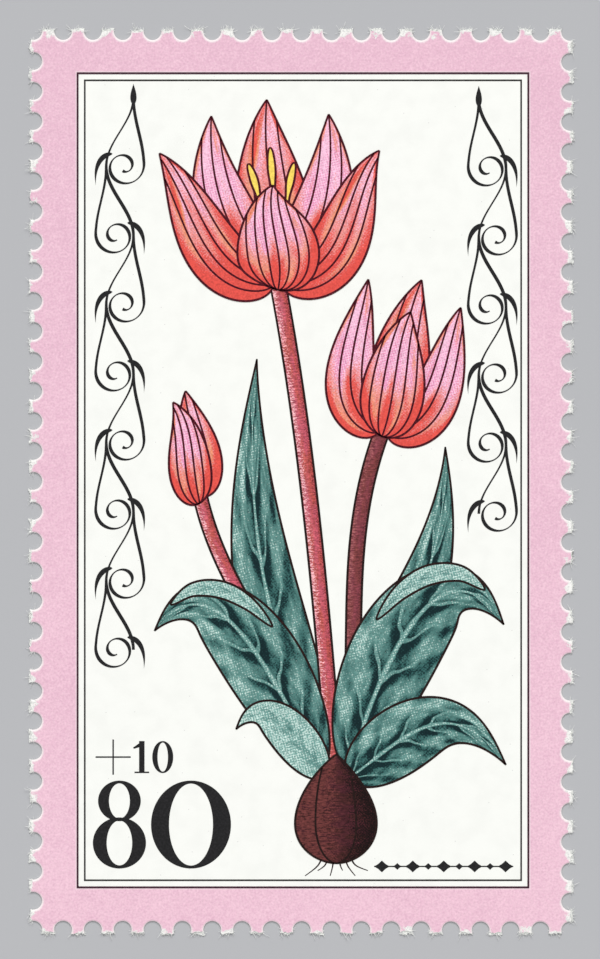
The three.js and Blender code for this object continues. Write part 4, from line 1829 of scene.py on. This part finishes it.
@dataclass
class Scroll:
    """A pen scroll: a waving stem with a curl in each hollow and a small leaf on each crest.

    Attributes:
        name: The name of the solid that it stands for.
        middle: The place of its middle line across the print.
        top: The place of its first crest.
        half_waves: The number of half waves down to its foot.
        first_side: The side of its first crest, 1 for the right.
    """

    name: str
    middle: float
    top: float
    half_waves: int
    first_side: int

    HALF_WAVE = 3.3  # height of half a wave of the stem
    WAVE_REACH = 0.65  # how far its crests lie from its middle
    CURL_RADIUS = 0.95
    CURL_INNER = 0.22  # the radius to which a curl winds in
    CURL_TURNS = 1.3
    CURL_OFFSET = 0.2  # how far from the stem's middle a curl's own middle lies
    CURL_PULL = 1.2  # how long the line that leads to a curl runs straight at its two ends
    CURL_POINTS = 20  # the number of steps along its winding
    LEAD_POINTS = 8  # the same along the line that leads to it
    CURL_COLUMNS = 130  # the number of faces along both
    STEM_POINTS = 12  # the number of steps along half a wave of the stem
    LEAF_POINTS = 40  # the same along a small leaf
    PEN_HALF_WIDTH = 0.085
    PEN_THIN = 0.34  # the pen's thinnest line, as a share of its full width
    PEN_ANGLE = 35.0
    LEAF_HALF_WIDTH = 0.12
    LEAF_MIDRIB = ((-0.3, 0.6), (0.2, 0.6), (0.6, 0.1), (0.5, -0.9))
    FINIAL_HALF_WIDTH = 0.15
    FINIAL_MIDRIB = ((0.0, -0.35), (0.0, 0.0), (0.0, 0.3), (0.0, 0.65))

    def side(self, crest: int) -> int:
        """The side that a crest is on."""
        return -self.first_side if crest % 2 else self.first_side

    def stem_at(self, wave: float) -> Point:
        """The place on the stem after a number of half waves, which is a crest where it is whole."""
        swing = self.WAVE_REACH * self.first_side * math.cos(math.pi * wave)
        return self.middle + swing, self.top - self.HALF_WAVE * wave

    def stroke(self, path: Sequence[Point], steps: int) -> Object:
        """A line drawn with a broad pen, thin along the pen's edge and thick across it.

        Args:
            path: The points of its middle line.
            steps: The number of faces along it.

        Returns:
            The line.
        """
        curve = Through(tuple(path))
        pen = math.radians(self.PEN_ANGLE)
        places, widths = [], []
        for share in even_shares(steps):
            dx, dy = direction(curve, share)
            slant = (dx * math.sin(pen) - dy * math.cos(pen)) ** 2
            places.append(curve.at(share))
            widths.append(self.PEN_HALF_WIDTH * (self.PEN_THIN + (1 - self.PEN_THIN) * slant))
        return drawn(places, widths, steps)

    def curl(self, i: int) -> Object:
        """The curl that leaves the stem at a crest and winds in round a point in the next hollow.

        Args:
            i: The number of the crest, from the top.

        Returns:
            The curl.
        """
        side = self.side(i)
        x, y = self.middle - self.CURL_OFFSET * side, self.stem_at(i)[1]
        winding = []
        for share in even_shares(self.CURL_POINTS):
            turn = share * self.CURL_TURNS * 2 * math.pi
            radius = self.CURL_RADIUS + (self.CURL_INNER - self.CURL_RADIUS) * share
            winding.append((x - side * math.cos(turn) * radius, y - math.sin(turn) * radius))
        start, join = self.stem_at(i - 1), winding[0]
        below, above = (start[0], start[1] - self.CURL_PULL), (join[0], join[1] + self.CURL_PULL)
        lead = Cubic((start, below, above, join))
        path = [lead.at(share) for share in even_shares(self.LEAD_POINTS)] + winding[1:]
        return self.stroke(path, self.CURL_COLUMNS)

    def small_leaf(self, i: int, half_width: float, midrib: Sequence[Point]) -> Object:
        """A small leaf on a crest.

        Args:
            i: The number of the crest, from the top.
            half_width: Half the leaf's width.
            midrib: The corners of its midrib, given outwards and upwards from the crest.

        Returns:
            The leaf.
        """
        x, y = self.stem_at(i)
        curve = Cubic(tuple((x + self.side(i) * out, y + up) for out, up in midrib))
        shares = eased_shares(self.LEAF_POINTS)
        widths = [half_width * Profile.LEAF.width(share) for share in shares]
        return drawn([curve.at(share) for share in shares], widths, self.LEAF_POINTS, 2)

    def build(self) -> None:
        """Builds and dresses the scroll."""
        steps = self.STEM_POINTS * self.half_waves
        stem_path = [self.stem_at(self.half_waves * share) for share in even_shares(steps)]
        body = self.stroke(stem_path, 3 * steps)
        body = combined(body, self.small_leaf(0, self.FINIAL_HALF_WIDTH, self.FINIAL_MIDRIB), "UNION")
        for i in range(1, self.half_waves + 1):
            body = combined(body, self.curl(i), "UNION")
            body = combined(body, self.small_leaf(i, self.LEAF_HALF_WIDTH, self.LEAF_MIDRIB), "UNION")
        printed(body, f"printed_{self.name}", Dress.BLACK, self.name)


@dataclass(frozen=True)
class Round:
    """One round of a numeral.

    Attributes:
        x: The place of its middle across the print.
        rise: The height of its middle above the numeral's foot.
        reach: Half its width and half its height.
        side: The width of its sides.
        thin: The width of its top and foot.
    """

    x: float
    rise: float
    reach: Point
    side: float
    thin: float

    SIDES = 96

    def piece(self, foot: float) -> Object:
        """Makes the round.

        Args:
            foot: The height of the numeral's foot on the print.

        Returns:
            The round, as a closed ring.
        """
        circle = {"vertices": self.SIDES, "radius": 1, "fill_type": "NOTHING"}
        ring = added(bpy.ops.mesh.primitive_circle_add, **circle)
        with editing(ring):
            sized(*self.reach)
            bpy.ops.mesh.select_all(action="DESELECT")
            bpy.ops.mesh.primitive_circle_add(**circle)
            sized(self.reach[0] - self.side, self.reach[1] - self.thin)
            bpy.ops.mesh.select_all(action="SELECT")
            bpy.ops.mesh.bridge_edge_loops()
            bpy.ops.mesh.select_all(action="SELECT")
            bpy.ops.transform.translate(value=(self.x, foot + self.rise, 0))
        return thickened(ring, PICTURE_BASE, ORNAMENT_TOP)


@dataclass
class Numerals:
    """The numerals: thick down their sides and thin across, with a flat thin foot.

    Attributes:
        large_foot: The foot of the large numerals.
        small_foot: The foot of the small ones.
        small_height: Their height.
        thin: The width of the thinnest part of a small numeral.
    """

    large_foot: float = -18.55
    small_foot: float = -13.99
    small_height: float = 1.53
    thin: float = 0.07

    LARGE_LOWER = Round(x=-8.77, rise=1.22, reach=(1.27, 1.22), side=0.66, thin=0.15)
    LARGE_UPPER = Round(x=-8.77, rise=3.23, reach=(1.02, 0.97), side=0.52, thin=0.13)
    LARGE_NOUGHT = Round(x=-5.35, rise=2.1, reach=(1.91, 2.1), side=0.86, thin=0.14)
    SMALL_NOUGHT = Round(x=-6.7, rise=0.765, reach=(0.5, 0.765), side=0.25, thin=0.07)

    # The small one: its middle, half its width, half its foot's, and its flag from the top of its middle.
    ONE_MIDDLE = -7.7
    ONE_HALF_WIDTH = 0.13
    FOOT_REACH = 0.35
    FLAG_START = (0.06, -0.12)
    FLAG_END = (-0.4, -0.34)
    FLAG_HALF_WIDTH = 0.12

    # The plus sign: its middle and half its size.
    PLUS_MIDDLE = -9.07
    PLUS_REACH = 0.84

    BAR_COLUMNS = 6

    def bar(self, start: Point, end: Point, half_widths: Point) -> Object:
        """A straight bar between two points, with its half width at each."""
        return drawn([start, end], half_widths, self.BAR_COLUMNS)

    def eight(self) -> Object:
        """The large eight: two rounds, one on the other."""
        lower, upper = (half.piece(self.large_foot) for half in (self.LARGE_LOWER, self.LARGE_UPPER))
        return combined(lower, upper, "UNION")

    def one(self) -> Object:
        """The small one, with its flag and foot.

        Returns:
            The numeral.
        """
        foot, top, half = self.small_foot, self.small_foot + self.small_height, self.thin / 2
        middle, reach, level = self.ONE_MIDDLE, self.FOOT_REACH, foot + half
        start, end = ((middle + x, top + y) for x, y in (self.FLAG_START, self.FLAG_END))
        body = self.bar((middle, foot), (middle, top), (self.ONE_HALF_WIDTH, self.ONE_HALF_WIDTH))
        serif = self.bar((middle - reach, level), (middle + reach, level), (half, half))
        flag = self.bar(start, end, (self.FLAG_HALF_WIDTH, half))
        return combined(combined(body, serif, "UNION"), flag, "UNION")

    def plus(self) -> Object:
        """The plus sign.

        Returns:
            The sign.
        """
        x, y = self.PLUS_MIDDLE, self.small_foot + self.small_height / 2
        reach, half = self.PLUS_REACH, self.thin / 2
        level = self.bar((x - reach, y), (x + reach, y), (half, half))
        return combined(level, self.bar((x, y - reach), (x, y + reach), (half, half)), "UNION")

    def build(self) -> None:
        """Builds and dresses the numerals."""
        shapes = {
            "value_eight": self.eight(),
            "value_nought": self.LARGE_NOUGHT.piece(self.large_foot),
            "addition_plus": self.plus(),
            "addition_one": self.one(),
            "addition_nought": self.SMALL_NOUGHT.piece(self.small_foot),
        }
        for name, shape in shapes.items():
            printed(shape, f"printed_{name}", Dress.BLACK, name)


@dataclass
class LozengeRule:
    """A thin rule with lozenges on it.

    Attributes:
        left: Its left end.
        right: Its right end.
        height: Its place up the print.
        count: The number of lozenges.
        line: Half the rule's width.
        large: Half the height of a large lozenge, the first and every other one.
        small: Half the height of the others.
        stretch: How much longer a lozenge is than high.
    """

    left: float = 3.4
    right: float = 10.05
    height: float = -18.45
    count: int = 9
    line: float = 0.03
    large: float = 0.28
    small: float = 0.16
    stretch: float = 1.3

    # Places along a lozenge, from -1 to 1, and its height there as a share of the greatest.
    OUTLINE = ((-1, 0.02), (-0.5, 0.4), (0, 1), (0.5, 0.4), (1, 0.02))
    LOZENGE_COLUMNS = 24
    LINE_COLUMNS = 40

    def lozenge(self, x: float, reach: float) -> Object:
        """One lozenge, a little hollow along its sides.

        Args:
            x: The place of its middle across the print.
            reach: Half its height.

        Returns:
            The lozenge.
        """
        wide = self.stretch * reach
        path = [(x + wide * place, self.height) for place, _ in self.OUTLINE]
        return drawn(path, [reach * share for _, share in self.OUTLINE], self.LOZENGE_COLUMNS, 2)

    def build(self) -> None:
        """Builds and dresses the rule."""
        ends = [(self.left, self.height), (self.right, self.height)]
        body = drawn(ends, [self.line, self.line], self.LINE_COLUMNS)
        pitch = (self.right - self.left) / self.count
        for i in range(self.count):
            reach = self.small if i % 2 else self.large
            body = combined(body, self.lozenge(self.left + (i + 0.5) * pitch, reach), "UNION")
        printed(body, "printed_ornament_rule", Dress.BLACK, "ornament_rule")


def dress_frame_lines() -> None:
    """Dresses the two frame lines, which keep their own shape."""
    for name, dress in (("frame_line_outer", Dress.OUTER_LINE), ("frame_line_inner", Dress.INNER_LINE)):
        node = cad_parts[name]
        node.data.materials.clear()
        node.data.materials.append(dress.value.material())
        LOG.info("%s: dressed", name)


# The studio.


@dataclass
class Studio:
    """A pale floor, soft light from the top of the picture, and a camera straight above.

    Attributes:
        view_height: The height of the picture's frame on the sheet, in millimetres.
        view_middle: The place on the sheet at the frame's middle, in millimetres.
        lens: The camera's focal length.
        sensor: The size of the sensor's long side.
        floor_size: The side of the floor, in metres.
        floor_gap: How far the floor lies below the stamp, in metres, so that the two don't meet.
        light_distance: How far away the lights stand, in metres.
        ambient: The brightness of the room all round.
    """

    view_height: float = 45.84
    view_middle: Point = (-0.082, 0.092)
    lens: float = 200.0
    sensor: float = 36.0
    floor_size: float = 3.0
    floor_gap: float = 2e-6
    light_distance: float = 4.0
    ambient: float = 0.46

    def floor(self) -> None:
        """The floor that the stamp lies on."""
        place = (0, 0, -self.floor_gap)
        floor = added(bpy.ops.mesh.primitive_plane_add, size=self.floor_size, location=place)
        floor.name = "floor"
        shader = Shader("floor")
        cloud = shader.noise(shader.place(), 40.0, 2)
        paint = shader.mix(cloud, FLOOR_DARK, FLOOR_LIGHT)
        floor.data.materials.append(shader.coated(paint, 0.9, cloud, 0.01))

    def softbox(self, name: str, towards: Vector, size: float, watts: float) -> None:
        """A soft light that shines on the stamp.

        Args:
            name: Its name.
            towards: The direction in which it stands.
            size: Its side, in metres.
            watts: Its power.
        """
        place = towards.normalized() * self.light_distance
        bpy.ops.object.light_add(type="AREA", location=place)
        light = bpy.context.object
        light.name = name
        light.data.size = size
        light.data.energy = watts
        light.rotation_euler = (-place).to_track_quat("-Z", "Y").to_euler()

    def camera(self) -> None:
        """The camera, straight above the sheet."""
        distance = self.lens / self.sensor * self.view_height * METRES
        x, y = (part * METRES for part in self.view_middle)
        bpy.ops.object.camera_add(location=(x, y, distance), rotation=(0, 0, 0))
        camera = bpy.context.object
        camera.data.lens = self.lens
        camera.data.sensor_width = self.sensor
        camera.data.clip_start, camera.data.clip_end = 0.01, 10
        bpy.context.scene.camera = camera

    def room(self) -> None:
        """The even light of the room."""
        world = bpy.data.worlds.new("room")
        world.use_nodes = True
        backdrop = world.node_tree.nodes["Background"]
        backdrop.inputs["Color"].default_value = (1, 1, 1, 1)
        backdrop.inputs["Strength"].default_value = self.ambient
        bpy.context.scene.world = world
        bpy.context.scene.view_settings.view_transform = "Standard"

    def build(self) -> None:
        """Builds the studio."""
        self.floor()
        self.softbox("key_light", towards=Vector((0.05, 0.42, 0.4)), size=2.0, watts=110.0)
        self.softbox("fill_light", towards=Vector((-0.3, -0.2, 0.5)), size=2.7, watts=19.3)
        self.camera()
        self.room()


def main() -> None:
    """Builds the stamp and its studio."""
    logging.basicConfig(level=logging.INFO, format="%(name)s: %(message)s")
    sheet = Sheet()
    sheet.build()
    TornFibres(sheet).build()
    Picture().build()
    Scroll("scroll_left", middle=-8.75, top=18.3, half_waves=8, first_side=1).build()
    Scroll("scroll_right", middle=9.05, top=18.2, half_waves=6, first_side=-1).build()
    Numerals().build()
    LozengeRule().build()
    dress_frame_lines()
    Studio().build()


if __name__ == "__main__":
    main()
